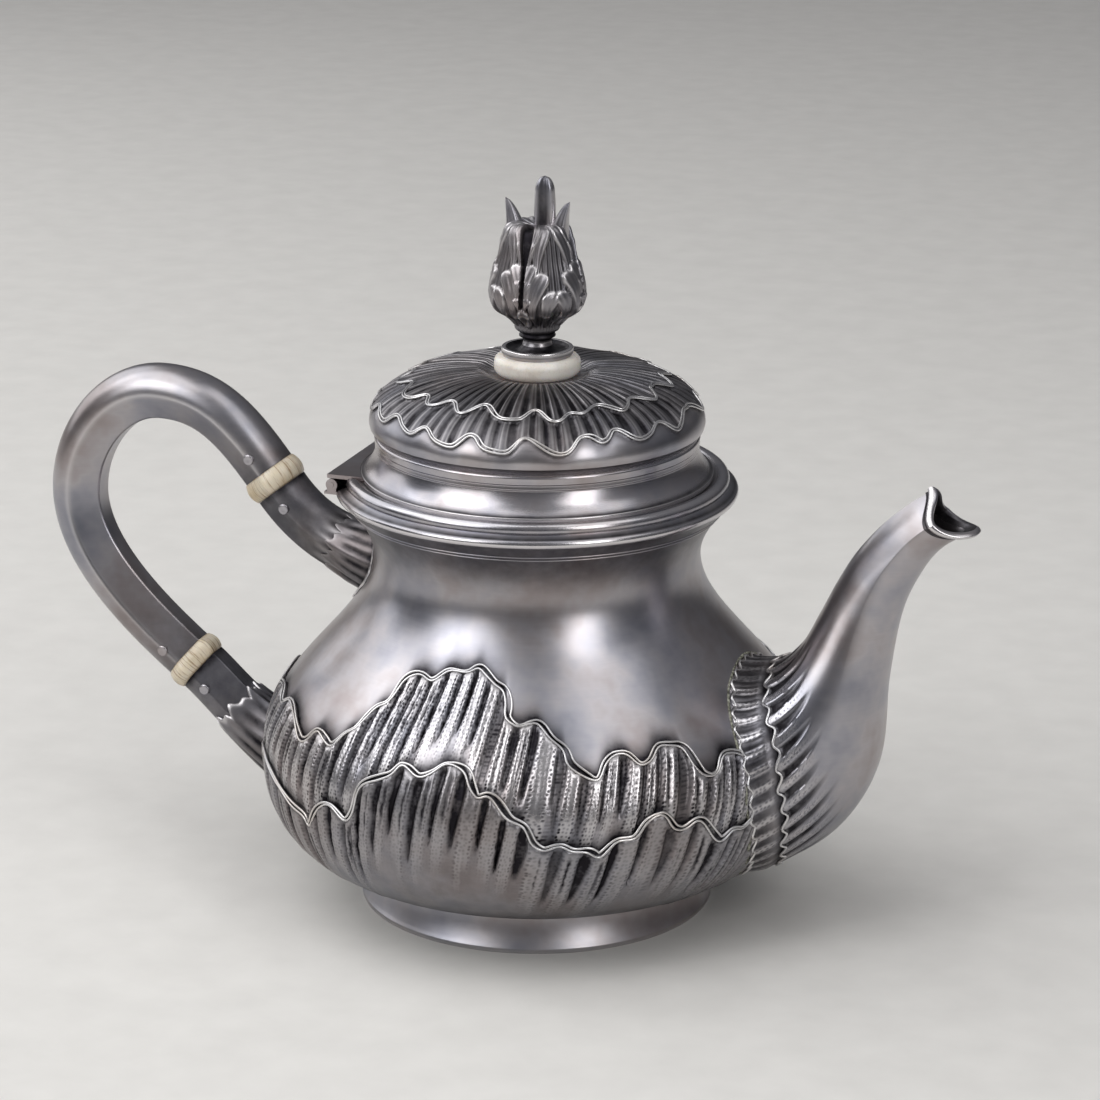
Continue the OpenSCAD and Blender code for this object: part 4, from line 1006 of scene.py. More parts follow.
# Section of the spout's brim, as [share of the way to the mouth's edge, distance outside the spout, rounding]
BRIM = [
    (-0.03, 0.03, 0), (0.02, 0.32, 0.05), (0.3, 0.3, 0.1), (0.42, 0.8, 0.2), (0.7, 1.0, 0.2),
    (0.95, 0.8, 0.2), (1.02, 0.1, 0.1), (0.97, -0.55, 0.1), (0.7, -0.85, 0.1), (0.0, -0.9, 0),
]


def lip_piece():
    """Applied edge round the mouth: thin where it laps the spout, with a thick rounded brim."""
    a = degrees_round(LIP_COLUMNS)
    start, finish = spout_mouth(a) - LIP_SHARE, spout_mouth(a)
    section = rounded(BRIM, steps=5)
    rings = [spout_point(start + (finish - start) * t, a, off) for t, off in section]
    t, off = np.array(section).T
    # Tarnish stays at the lap, in the brim's throat and along its foot, and lips rub its outer half
    throat, foot = (t < 0.015) | (off < -0.5), (t > 0.02) & (t < 0.36) & (off > 0)
    hollow = np.where(throat, 0.8, np.where(foot, 0.85, 0.0))
    worn = np.where((t > 0.5) & (off > 0.2), 0.8, 0.0)
    return lofted("spout_brim", [rings], SATIN,
                  {"hollow": np.repeat(hollow, len(a)), "worn": np.repeat(worn, len(a))})


def collar_wave(phase):
    return 0.42 * np.cos(2 * math.pi * phase) + 0.15 * np.sin(phase * 2.3)


def collar_piece():
    """Fluted collar that laps the spout's root, thick and waved at its foot on the body."""
    a = degrees_round(COLLAR_COLUMNS)
    phase = COLLAR_EDGE.phase(a) + 0.5
    wave = collar_wave(phase)
    end = collar_end(a)
    deep = ease(0.15, 0.7, cosine_wave(phase))
    rings, hollow, worn, punched, flat = [], [], [], [], []
    for t in np.linspace(0, 1, 26):
        groove = deep * math.sin(math.pi * min(1, 0.12 + t * 0.95))
        off = COLLAR_T * (1 - 0.5 * t) * (COLLAR_FOOT + (1 - COLLAR_FOOT) * ease(0, 0.12, t))
        off = off * (1 - 0.6 * ease(0.7, 0.98, t))
        off = 0.1 + off + wave * (1 - t) - 0.4 * groove * (1 - ease(0.75, 0.98, t))
        root = spout_root(a, 0.1 + COLLAR_FOOT * COLLAR_T + wave)
        rings.append(spout_point(root + (end - root) * t, a, off))
        dark = 0.2 + 0.6 * groove + 0.7 * ease(0.75, 0.95, t) + 0.5 * (1 - ease(0, 0.06, t))
        rib = 0.55 * (1 - flute_profile(phase, 0.6)) ** 2
        hollow.append(np.clip(dark, 0, 1))
        worn.append(rib * ease(0.05, 0.15, t) * (1 - ease(0.7, 0.85, t)))
        punched.append(0.4 * (1 - deep) * ease(0.1, 0.2, t) * (1 - ease(0.75, 0.9, t)))
        flat.append(np.stack([np.full(len(a), t * COLLAR_W), COLLAR_EDGE.millimetres(a)], -1))
    inner = [spout_point(spout_root(a, 0.05) * (1 - t) + end * t, a, 0.05) for t in (1.0, 0.5, 0.0)]
    return lofted("spout_collar_chased", [rings + inner], CHASED,
                  {"hollow": np.array(hollow), "worn": np.array(worn), "punched": np.array(punched)},
                  np.array(flat))


def collar_edge_line(off, extra):
    """Line round the collar's foot, off above the body and extra millimetres out from the foot."""
    a = degrees_round(COLLAR_LINE_POINTS)
    phase = COLLAR_EDGE.phase(a) + 0.5
    rise = COLLAR_FOOT * COLLAR_T + 0.1 + extra + collar_wave(phase)
    return spout_point(spout_root(a, rise, -off), a, rise)


def residue_line():
    """Line of dried paste in the seam round the collar's foot, thick and thin."""
    a = degrees_round(SPOUT_LINE_POINTS)
    turn = np.radians(a)
    rise = COLLAR_FOOT * COLLAR_T + 0.5 + 0.15 * np.sin(turn * 7)
    sunk = 0.12 + 0.12 * np.sin(turn * 11) * np.sin(turn * 5 + 1)
    return spout_point(spout_root(a, rise, sunk), a, rise)


# ---- Handle ----

GRIP_HALF_W, GRIP_OUT, GRIP_IN, GRIP_FLAT, GRIP_WALL = 5.9, 5.5, 5.7, 2.2, 0.9
GRIP_SWELL = 0.03
UPPER_T, LOWER_T, BONE_BULGE = 4.8, 4.4, 0.11
BONE_PROUD, BONE_GAP = 0.035, 0.1  # share that a barrel stands out at once, and millimetres left at its ends
PIN_INSET, PIN_RISE = 4.0, 0.3
RING = 24.0  # a section is counted round in this many parts
GRIP_POINTS, SOCKET_POINTS, LEAF_POINTS, BONE_POINTS = 96, 144, 192, 120


def downhill(degrees):
    return np.array([math.cos(math.radians(degrees)), -math.sin(math.radians(degrees))])


UPPER_DIR, LOWER_DIR = downhill(52), downhill(38.5)
UPPER_C = np.array([-(NECK_R + 24.9), 85.5])
LOWER_C = np.array([-(BELLY_R + 21.2), 42.0])
GRIP_TOP, GRIP_FAR = np.array([-(BELLY_R + 27.2), 102.7]), np.array([-(BELLY_R + 47.9), 78.5])
QUARTER = 0.52  # reach of a curve's handles that makes a quarter turn


def grip_paths():
    """The handle's loop as three Bezier curves of [along, up], from the upper barrel to the lower one."""
    start, finish = UPPER_C - UPPER_DIR * UPPER_T / 2, LOWER_C - LOWER_DIR * LOWER_T / 2
    across, down = QUARTER * (GRIP_FAR[0] - GRIP_TOP[0]), QUARTER * (GRIP_TOP[1] - GRIP_FAR[1])
    return [(start, start - UPPER_DIR * 13, GRIP_TOP + [10.5, 0], GRIP_TOP),
            (GRIP_TOP, GRIP_TOP + [across, 0], GRIP_FAR + [0, down], GRIP_FAR),
            (GRIP_FAR, GRIP_FAR - [0, 14], finish - LOWER_DIR * 14, finish)]


def bezier(p, t):
    t = np.asarray(t, float)[..., None]
    return p[0] * (1 - t)**3 + p[1] * 3 * t * (1 - t)**2 + p[2] * 3 * t**2 * (1 - t) + p[3] * t**3


def bezier_direction(p, t):
    t = np.asarray(t, float)[..., None]
    d = (p[1] - p[0]) * (1 - t)**2 + (p[2] - p[1]) * 2 * t * (1 - t) + (p[3] - p[2]) * t**2
    return d / np.linalg.norm(d, axis=-1)[..., None]


def grip_section(i, inset=0.0):
    """Section of the grip as [outwards, sideways]: round outside, two facets and a flat inside."""
    w = GRIP_HALF_W - inset
    half = RING / 2
    across = -w + 2 * w * (i - half) / half
    turn = math.pi * i / half
    round_side = np.stack([(GRIP_OUT - inset) * np.sin(turn), w * np.cos(turn)], -1)
    depth = np.minimum(1, (w - np.abs(across)) / (GRIP_HALF_W - GRIP_FLAT))
    flat_side = np.stack([-(GRIP_IN - inset) * depth, across], -1)
    return np.where((i <= half)[..., None], round_side, flat_side)


def oval_section(i, high, wide):
    turn = 2 * math.pi * i / RING
    return np.stack([high * np.sin(turn), wide * np.cos(turn)], -1)


def placed(c, direction, s):
    """Section points s placed at c in the handle's plane, where the handle runs along direction."""
    square = np.stack([direction[..., 1], -direction[..., 0]], -1)
    p = c + s[..., :1] * square
    return np.stack([p[..., 0], s[..., 1], p[..., 1]], -1)


def section_places(count):
    return np.arange(count) * RING / count


def grip_piece():
    """Hollow tube of the loop, a little fuller half way, grimy towards both barrels, its creases worn."""
    i = section_places(GRIP_POINTS)
    rows = {0.0: [], GRIP_WALL: []}
    way = []
    for k, path in enumerate(grip_paths()):
        for t in np.linspace(0, 1, 64)[(1 if k else 0):]:
            full = 1 + GRIP_SWELL * math.sin(math.pi * (k + t) / 3)
            for inset, rings in rows.items():
                section = grip_section(i, inset) * full
                rings.append(placed(bezier(path, t), bezier_direction(path, t), section))
            way.append((k + t) / 3)
    way = np.array(way)
    grimy = 0.5 * np.exp(-way / 0.06) + 0.5 * np.exp(-(1 - way) / 0.09) + 0.08
    past = i % (RING / 2)
    crease = np.exp(-(past / 0.35) ** 2) + np.exp(-((RING / 2 - past) / 0.35) ** 2)
    hollow, worn = np.outer(grimy, np.ones(len(i))), np.outer(np.ones(len(way)), 0.35 * crease)
    return lofted("handle_tube", [rows[0.0] + rows[GRIP_WALL][::-1]], SATIN, {"hollow": hollow, "worn": worn},
                  crease=60)


def socket_paths():
    """Curves of the two sockets from the barrels to the body."""
    upper, lower = UPPER_C + UPPER_DIR * UPPER_T / 2, LOWER_C + LOWER_DIR * LOWER_T / 2
    return ([upper, upper + UPPER_DIR * 8,
             np.array([-(NECK_R + 11.8), 71.5]), np.array([-NECK_R + 4.2, 70.0])],
            [lower, lower + LOWER_DIR * 8,
             np.array([-(BELLY_R + 6.2), 26.0]), np.array([-BELLY_R + 7.8, 23.5])])


# Half height and half width of each socket where it meets the body, and the side that the grip's rounded face
# lies on
UPPER_ROOT, LOWER_ROOT = (8.0, 11.5, -1), (11.0, 8.0, 1)


def socket_point(path, root, t, i, off):
    """Point t of the way down a socket and i parts round it, off outside its surface."""
    t, i, off = np.broadcast_arrays(np.asarray(t, float), np.asarray(i, float), off)
    spread = (t**4)[..., None]
    outwards = np.stack([off, off], -1)
    base = grip_section(i) * (1 - spread) + oval_section(i, root[0], root[1]) * spread
    length = np.linalg.norm(base, axis=-1)[..., None]
    return placed(bezier(path, t), bezier_direction(path, t), root[2] * base * (1 + outwards / length))


def socket_end(path, root, i, off=0.0, sunk=0.6):
    """How far down its path a socket meets the body's wall, sunk within it."""
    i, off = np.broadcast_arrays(np.asarray(i, float), off)
    return solve(lambda t: off_body(socket_point(path, root, t, i, off), sunk), np.full(i.shape, 0.2),
                 np.ones(i.shape))


def socket_piece(name, path, root, flutes, start):
    """Tube from an insulator to the body, fluted where it spreads."""
    i = section_places(SOCKET_POINTS)
    t = np.linspace(0, 1, 64)[:, None] * socket_end(path, root, i)
    groove = flute_profile(i / RING * flutes, 1.2) * ease(start, start + 0.25, t)
    outer = socket_point(path, root, t, i, -0.3 * groove)
    back = np.linspace(1, 0, 24)[:, None] * socket_end(path, root, i, -GRIP_WALL)
    inner = socket_point(path, root, back, i, -GRIP_WALL)
    hollow = 0.6 + 0.3 * groove + 0.3 * (1 - ease(0, 0.08, t))
    worn = 0.3 * (1 - groove)**4 * ease(start, start + 0.2, t)
    return lofted(name, [list(outer) + list(inner)], SATIN, {"hollow": np.clip(hollow, 0, 1), "worn": worn})


def leaf_edge(i, start, lobes):
    """Where a socket's leaf starts: a row of curling lobes, longest on its outer side."""
    turn = i / RING
    lobe = np.abs(np.sin(math.pi * lobes * turn))
    return start - 0.085 * lobe - 0.05 * np.sin(math.pi * lobes * turn * 2 + 1) * lobe


def leaf_piece(name, path, root, start, lobes, edge_t):
    """Leaf laid over a socket, edge_t thick where it starts, that ends on the body in a thin waved edge."""
    i = section_places(LEAF_POINTS)
    edge, turn = leaf_edge(i, start, lobes), i / RING
    vein = flute_profile(turn * lobes * 2, 1.5)
    wave = 0.45 * np.cos(2 * math.pi * turn * lobes * 1.5)
    rings, hollow, worn = [], [], []
    for s in np.linspace(0, 1, 22):
        off = edge_t * ease(-0.1, 0.08, s) + (0.65 - edge_t) * ease(0, 0.7, s)
        off = off - 0.26 * vein * ease(0.1, 0.5, s) + 0.25 * s
        end = socket_end(path, root, i, off, 0.2)
        rings.append(socket_point(path, root, edge + (end - edge) * s, i, off))
        hollow.append(0.5 + 0.4 * vein * ease(0.1, 0.5, s) + 0.3 * ease(0.85, 1, s))
        worn.append(np.full(len(i), 1.2 * edge_t * (1 - ease(0, 0.12, s))))
    # The thin edge, as [reach beyond the socket, height above the body]
    for reach, height in ((0.9, 0.45), (1.7, 0.4), (1.9, 0.1)):
        off = 0.9 + reach + wave * min(1, reach)
        rings.append(socket_point(path, root, socket_end(path, root, i, off, -height), i, off))
        hollow.append(np.full(len(i), 0.3))
        worn.append(np.full(len(i), 0.75 if reach > 1 else 0.0))
    for s in (1.0, 0.5, 0.0):
        end = socket_end(path, root, i, 0.05, 0.7)
        rings.append(socket_point(path, root, edge + (end - edge) * s, i, 0.05))
    return lofted(name, [rings], SATIN, {"hollow": np.clip(hollow, 0, 1), "worn": np.array(worn)}, crease=70)


def insulator_piece(name, c, direction, side, thick):
    """Barrel of bone between two tubes, with the grain along the handle."""
    i = section_places(BONE_POINTS)
    rings, places, hollow = [], [], []
    for v in np.linspace(0, 1, 22):
        edge = min(v, 1 - v)
        swell = 1.0 + BONE_BULGE * math.sin(math.pi * v) + BONE_PROUD * min(1, edge / 0.06)
        section = side * grip_section(i) * swell
        rings.append(placed(c + direction * (v - 0.5) * (thick - BONE_GAP), direction, section))
        # Distances round the first ring keep the grain straight
        places.append(np.stack([around(rings[0]), np.full(len(i), v * thick)], -1))
        hollow.append(np.full(len(i), 0.75 * math.exp(-edge / 0.07)))
    return lofted(name, [closed_ends(rings)], BONE, {"hollow": np.array(hollow)}, np.array(places), crease=70)


def pin_places():
    """Centres of the handle's four pins, two through each barrel's tenons."""
    out = []
    for c, direction, side, thick in ((UPPER_C, UPPER_DIR, -1, UPPER_T), (LOWER_C, LOWER_DIR, 1, LOWER_T)):
        square = np.array([direction[1], -direction[0]])
        for along in (-1, 1):
            p = c + direction * along * (thick / 2 + PIN_INSET) + side * PIN_RISE * square
            out.append((p[0], 0, p[1]))
    return out


# A pin's head as [place across the handle, radius], and sides of the pin
PIN_HEAD = [(-6.32, 0.0), (-6.34, 0.45), (-6.42, 0.8), (-6.36, 1.06), (-6.16, 1.17), (-5.8, 1.17),
            (-5.7, 1.07)]
PIN_SIDES = 32


def pin_piece():
    """One pin along Y, with a flat hammered head at each end, raised round its edge."""
    a = np.arange(PIN_SIDES) * math.pi / (PIN_SIDES / 2)
    rings = []
    for y, r in PIN_HEAD + [(-y, r) for y, r in PIN_HEAD[::-1]]:
        round_pin = np.stack([r * np.cos(a), np.full(PIN_SIDES, y), r * np.sin(a)], -1)
        rings.append(round_pin if r else round_pin[:1])
    return lofted("rivet", [rings], SATIN, crease=60)


# ---- Finial ----

DISC_R, DISC_H, PLATE_R, PLATE_H, STEM_R, STEM_H = 9.0, 4.1, 7.45, 1.8, 3.0, 3.0
BUD_R, BUD_H, TIP_H, FINGER_H = 10.0, 24.7, 2.9, 8.0
PLATE_Z = DISH_Z + DISC_H
BUD_Z = PLATE_Z + PLATE_H + STEM_H
SHOULDER_Z = BUD_Z + BUD_H
BUD_COLUMNS, BUD_ROWS = 432, 130
HORN_RINGS, FINGER_RINGS, TIP_SIDES = 24, 30, 40
FINIAL_COLUMNS = 128

# Outline of the bud as [share of its greatest radius, share of its height]
BUD = [(0.34, 0), (0.46, 0.03), (0.5, 0.09), (0.64, 0.15), (0.86, 0.21), (0.95, 0.29), (0.95, 0.39),
       (0.88, 0.52), (0.78, 0.66), (0.7, 0.8), (0.6, 0.9), (0.42, 0.93), (0.2, 0.9)]

# Lobes of an acanthus leaf on one side of its rib, as [across and up at the root, across and up at the tip,
# half width, height], in millimetres
LOBES = [
    (3.4, 12.0, 6.2, 24.5, 2.3, 0.55), (1.4, 12.0, 3.9, 25.2, 1.9, 0.8), (1.0, 12.0, 2.3, 21.8, 1.5, 0.95),
    (5.6, 2.0, 7.6, 11.0, 2.0, 0.7), (2.4, 2.2, 6.0, 15.8, 2.1, 0.95), (0.9, 3.5, 3.1, 17.6, 2.1, 1.1),
    (0.5, 8.0, 1.8, 13.2, 0.95, 1.25), (0.5, 5.0, 1.7, 9.4, 0.95, 1.25),
]
LOBE_FULL = 0.72  # share of its length at which a lobe is widest
HORN_SUNK, FINGER_SUNK, FINGER_X = 9, 3, 1.6  # millimetres that the tips start below the shoulder, and across


def lobe_height(x, z, lobe):
    """Height of one lobe, narrow at its root, round at its tip, cupped and streaked along, and its rim."""
    x0, z0, x1, z1, wide, high = lobe
    along = np.array([x1 - x0, z1 - z0])
    length = np.linalg.norm(along)
    along = along / length
    t = ((x - x0) * along[0] + (z - z0) * along[1]) / length
    bow = 0.12 * length * np.sin(math.pi * np.clip(t, 0, 1)) * (1 if x1 > x0 else -1)
    off = (x - x0) * along[1] - (z - z0) * along[0] + bow
    body = np.clip(t / LOBE_FULL, 0, 1)
    width = wide * (0.18 + 0.82 * body**1.2)
    over = np.clip((t - LOBE_FULL) / (1 - LOBE_FULL), 0, 1.2) * (1 - LOBE_FULL) * length / wide
    q = np.sqrt((off / width)**2 + np.where(t > LOBE_FULL, over, 0)**2)
    inside = (q < 1) & (t > 0)
    dome = np.sqrt(np.clip(1 - q**2, 0, 1))
    cup = 0.35 * np.exp(-(off / width / 0.45)**2) * np.clip(t, 0, 1)
    streak = 0.05 * np.cos(off / width * 9)
    lift = high * (0.45 + 0.55 * np.clip(t, 0, 1)) * (dome ** 0.7 - cup) + streak
    rim = np.exp(-((q - 0.86) / 0.12)**2) * np.clip(t * 1.6 - 0.4, 0, 1)
    return np.where(inside, lift, -1.0), np.where(inside, rim, 0.0)


def with_tips(skin, round_tip):
    """Marks of the bud's skin and of its two horns and finger, each followed by its two poles. round_tip
    holds a mark for each point round a tip."""
    parts = [np.ravel(skin), np.zeros(2)]
    for rings in (HORN_RINGS, HORN_RINGS, FINGER_RINGS):
        parts += [np.tile(round_tip, rings), np.zeros(2)]
    return np.concatenate(parts)


def bud_relief(angle, z, radius):
    """Lift of the bud's four leaves, and their bright rims, z millimetres up it."""
    # The ground between the lobes is streaked upwards
    lift, rim = -0.2 + 0.14 * np.cos(np.radians(angle) * 44), np.zeros(z.shape)
    for leaf in (-180, -90, 0, 90, 180):
        x = np.radians(angle - leaf) * BUD_R * (0.75 + 0.25 * radius / BUD_R)
        for side in (-1, 1):
            for lobe in LOBES:
                high, edge = lobe_height(x * side, z, lobe)
                rim = np.where(high > lift, edge, rim)
                lift = np.maximum(lift, high)
        # Ringed drop at the foot of the rib
        drop = np.sqrt((x / 1.6)**2 + ((z - 4.2) / 2.6)**2)
        ringed = 0.85 * np.sqrt(np.clip(1 - drop**2, 0, 1))**0.6 - 0.7 * np.exp(-(drop / 0.5)**2)
        lift = np.where(drop < 1, ringed, lift)
        rim = np.where(drop < 1, np.exp(-((drop - 0.8) / 0.15)**2), rim)
        # Slot that opens upwards along the rib
        slot = 0.45 + 1.5 * ease(13, 24.5, z)
        groove = (1 - ease(0.7, 1.25, np.abs(x) / slot)) * ease(4.5, 6.5, z)
        lift = lift - (lift + 1.1) * groove * (drop > 1)
        rim = rim * (1 - groove)
    return lift * ease(0.5, 2.5, z), rim


def tip_turn():
    return np.arange(TIP_SIDES) * math.pi / (TIP_SIDES / 2)


def tip_skin(centres, wide, deep, dent):
    """Skin round upright centres of [x, z], as half widths along X and Y, with its flanks dented."""
    a = tip_turn()
    rings = []
    for c, w, d in zip(centres, wide, deep):
        y = d * np.sin(a) * (1 - dent * np.exp(-(np.cos(a) / 0.5)**2))
        rings.append(np.stack([c[0] + w * np.cos(a), y, np.full(TIP_SIDES, c[1])], -1))
    return closed_ends(rings)


def horn(side):
    """Pointed tip of a side leaf."""
    t = np.linspace(0, 1, HORN_RINGS)
    wide = 2.7 * (1 - t)**0.6 + 0.1
    x = side * (7.0 - 0.5 * np.sin(math.pi * t) - 0.9 * wide)
    centres = np.stack([x, SHOULDER_Z - HORN_SUNK + (HORN_SUNK + TIP_H) * t], -1)
    return tip_skin(centres, wide, 3.8 * (1 - t)**0.7 + 0.1, 0.2)


def finger():
    """Rounded tip that stands in the middle."""
    t = np.linspace(0, 1, FINGER_RINGS)
    top = np.sqrt(np.clip(1 - ((t - 0.72) / 0.28).clip(0, 1)**2, 0.002, 1))
    x = np.full(FINGER_RINGS, FINGER_X)
    centres = np.stack([x, SHOULDER_Z - FINGER_SUNK + (FINGER_SUNK + FINGER_H) * t], -1)
    return tip_skin(centres, (2.15 + 0.15 * np.sin(t * 5)) * top, 1.75 * top, 0.4)


def bud_piece():
    outline = Outline(thread([(r * BUD_R, BUD_Z + h * BUD_H) for r, h in BUD], 12))
    angle, s = np.meshgrid(-180 + degrees_round(BUD_COLUMNS), np.linspace(0, outline.s[-1], BUD_ROWS))
    radius, z = outline.at(s)[..., 0], outline.at(s)[..., 1] - BUD_Z
    lift, rim = bud_relief(angle, z, radius)
    skin = closed_ends(list(outline.surface(angle, s, lift * 0.85)))
    # The tips are dark in the middle, with bright flanks
    flank = np.abs(np.cos(tip_turn()))
    hollow = with_tips(np.clip(0.55 - 0.4 * lift, 0.12, 0.95), 0.75 * (1 - ease(0.3, 0.8, flank)))
    worn = with_tips(0.85 * rim, 0.6 * ease(0.72, 0.95, flank))
    return lofted("finial_bud_cast", [skin, horn(-1), horn(1), finger()], SATIN,
                  {"hollow": hollow, "worn": worn}, crease=80)


def plate_piece():
    """Little dished plate and the stem that carries the bud."""
    top = PLATE_Z + PLATE_H
    line = [(0, PLATE_Z, 0), (PLATE_R - 0.25, PLATE_Z, 0.2), (PLATE_R, PLATE_Z + 0.72, 0.1),
            (PLATE_R, top - 0.1, 0.3), (PLATE_R - 0.8, top, 0.3), (PLATE_R - 1.6, top - 0.75, 0.4),
            (STEM_R + 1.4, top - 0.9, 0.5),
            (STEM_R + 0.25, top - 0.1, 0.8), (STEM_R - 0.15, top + 0.4 * STEM_H, 0.6),
            (STEM_R + 0.1, top + 0.6 * STEM_H, 0.3), (STEM_R + 0.9, top + 0.75 * STEM_H, 0.3),
            (STEM_R + 0.5, top + STEM_H, 0.1), (0, top + STEM_H, 0)]
    line = np.array(rounded(line, steps=5))
    dish = (line[:, 0] < PLATE_R - 0.9) & (line[:, 0] > STEM_R + 0.1) & (line[:, 1] > PLATE_Z + 0.5)
    edge = (line[:, 0] > PLATE_R - 0.9) & (line[:, 1] > top - 0.4)
    return turned("finial_plate_turned", line, SATIN, FINIAL_COLUMNS,
                  {"hollow": 0.15 + 0.75 * dish, "worn": 0.9 * edge})


def disc_piece():
    """Round-edged disc of bone under the plate, grimy along its foot."""
    t = np.linspace(0, 1, 26)
    side = [(DISC_R - 1.1 * abs(2 * v - 1)**3.2, DISH_Z + DISC_H * v) for v in t]
    hollow = [0.35 * math.exp(-v / 0.06) for v in t]
    outline = [(0, DISH_Z)] + side + [(0, DISH_Z + DISC_H)]
    return turned("finial_disc_turned", outline, PALE_BONE, FINIAL_COLUMNS, {"hollow": [0.3] + hollow + [0]},
                  crease=80)


# ---- Mouth rim and foot ----

FLANGE_GAP = 0.35
SEAT_OUT_R, SEAT_IN_R, SEAT_T = FLANGE_R + FLANGE_GAP, 34.4, 1.2
BEAD_R, ROLL_R = 1.1, 1.5
HINGE_W, HINGE_GAP, NOTCH_Z = 38.0, 0.2, MOUTH_Z + 0.9
TURNED_COLUMNS = 256


def arc(c, r, first, last, steps=14):
    a = np.radians(np.linspace(first, last, steps))
    return [(c[0] + r * math.cos(v), c[1] + r * math.sin(v)) for v in a]


def rim_piece():
    """Turned ring of the mouth: a bead below a larger roll, the lid's seat inside, and the hinge's notch."""
    bead = (MOUTH_R + BEAD_R * 0.85 - BEAD_R, MOUTH_Z + BEAD_R)
    roll = (SEAT_OUT_R + ROLL_R, SEAT_Z - 0.7)
    line = [(SEAT_OUT_R - 1.25, MOUTH_Z), (MOUTH_R - 0.6, MOUTH_Z)]
    line += arc(bead, BEAD_R, -80, 75) + arc(roll, ROLL_R, -25, 128, 20)
    line += [(SEAT_OUT_R, SEAT_Z), (SEAT_IN_R, SEAT_Z), (SEAT_IN_R, SEAT_Z - SEAT_T),
             (SEAT_OUT_R - 1.25, SEAT_Z - 2 * SEAT_T)]
    line = np.array(line)
    r, z = line[:, 0], line[:, 1]
    valley = np.exp(-((z - (MOUTH_Z + 2.25)) / 0.35)**2) * (r > MOUTH_R - 2.4)
    lap = np.exp(-((r - SEAT_OUT_R - 0.1) / 0.3)**2) * (z > SEAT_Z - 0.2)
    under = (z < MOUTH_Z + 0.35) * 0.8 + 0.8 * lap
    bead_top, roll_top = np.exp(-((z - bead[1]) / 0.5)**2), np.exp(-((z - roll[1] - 1.0) / 0.5)**2)
    bright = bead_top * (r > MOUTH_R) + 0.35 * roll_top
    piece = turned("mouth_rim_turned", line, TURNED, TURNED_COLUMNS,
                   {"hollow": np.clip(0.85 * valley + under, 0, 1), "worn": np.clip(0.8 * bright, 0, 1)}, 45)
    cut(piece, [box_minus_drum(MOUTH_R + 10, HINGE_W / 2 + HINGE_GAP, NOTCH_Z, SEAT_Z + 9, SEAT_OUT_R)])
    return piece


def box_minus_drum(far, half, low, high, radius):
    """Block behind a drum about the axis, as a skin to cut with."""
    y = np.linspace(half, -half, 60)
    x = -np.sqrt(radius**2 - y**2)
    outline = [(-far, -half), (-far, half)] + list(zip(x, y))
    rings = [np.array([(a, b, z) for a, b in outline]) for z in (low, high)]
    return closed_ends(rings)


def cut(piece, skins):
    """Takes closed skins away from a piece."""
    tool = lofted("cutter", skins, SATIN)
    modifier = piece.modifiers.new("cut", "BOOLEAN")
    modifier.operation, modifier.object, modifier.solver = "DIFFERENCE", tool, "MANIFOLD"
    done = evaluated(piece)
    piece.modifiers.clear()
    old, piece.data = piece.data, done
    done.name = piece.name
    bpy.data.meshes.remove(old)
    bpy.data.objects.remove(tool)


FOOT_R, FOOT_EDGE_H, FOOT_TOP_R, FOOT_WALL = 37.4, 0.9, 35.0, 1.1


def foot_piece():
    """Spreading ring that the pot stands on, with a flat edge twice as thick as its wall."""
    z = np.linspace(FOOT_EDGE_H, FOOT_H, 28)
    outer = [(FOOT_TOP_R + (FOOT_R - FOOT_TOP_R) * ((FOOT_H - v) / (FOOT_H - FOOT_EDGE_H))**2, v) for v in z]
    inner = [(r - FOOT_WALL, v) for r, v in outer[::-1]]
    edge_in = FOOT_R - 2 * FOOT_WALL
    edge = rounded([(edge_in, FOOT_EDGE_H, 0), (edge_in, 0, 0.15), (FOOT_R, 0, 0.3),
                    (FOOT_R, FOOT_EDGE_H + 0.1, 0.1), tuple(outer[2]) + (0,)])[:-1]
    line = np.array(edge + outer[2:] + inner)
    outside = np.arange(len(line)) < len(edge) + len(outer) - 2
    hollow = outside * 0.9 * ease(FOOT_H - 1.6, FOOT_H, line[:, 1]) + 0.5 * (~outside)
    worn = outside * 0.5 * np.exp(-((line[:, 1] - 0.3) / 0.5)**2)
    return turned("foot_ring_turned", line, FOOT_SATIN, TURNED_COLUMNS, {"hollow": hollow, "worn": worn}, 60)


STRAINER_PITCH, STRAINER_R, STRAINER_SIDES = 5.2, 1.3, 24


def strainer_cutters():
    """Rods for the holes in the wall behind the spout, in staggered rows within a round."""
    row_h = STRAINER_PITCH * math.sin(math.radians(60))
    middle = (SPOUT_INNER[0][1] + SPOUT_OUTER[0][1]) / 2
    turn = np.arange(STRAINER_SIDES) * math.pi / (STRAINER_SIDES / 2)
    out = []
    for row in range(-2, 3):
        for k in range(-2, 3):
            y, z = (k + (0 if row % 2 == 0 else 0.5)) * STRAINER_PITCH, middle + row * row_h
            if math.hypot(row * row_h, y) < 2.3 * STRAINER_PITCH:
                circle = [y + STRAINER_R * np.cos(turn), z + STRAINER_R * np.sin(turn)]
                out.append(closed_ends([np.stack([np.full(STRAINER_SIDES, x)] + circle, -1)
                                        for x in (40, BELLY_R + 3)]))
    return out


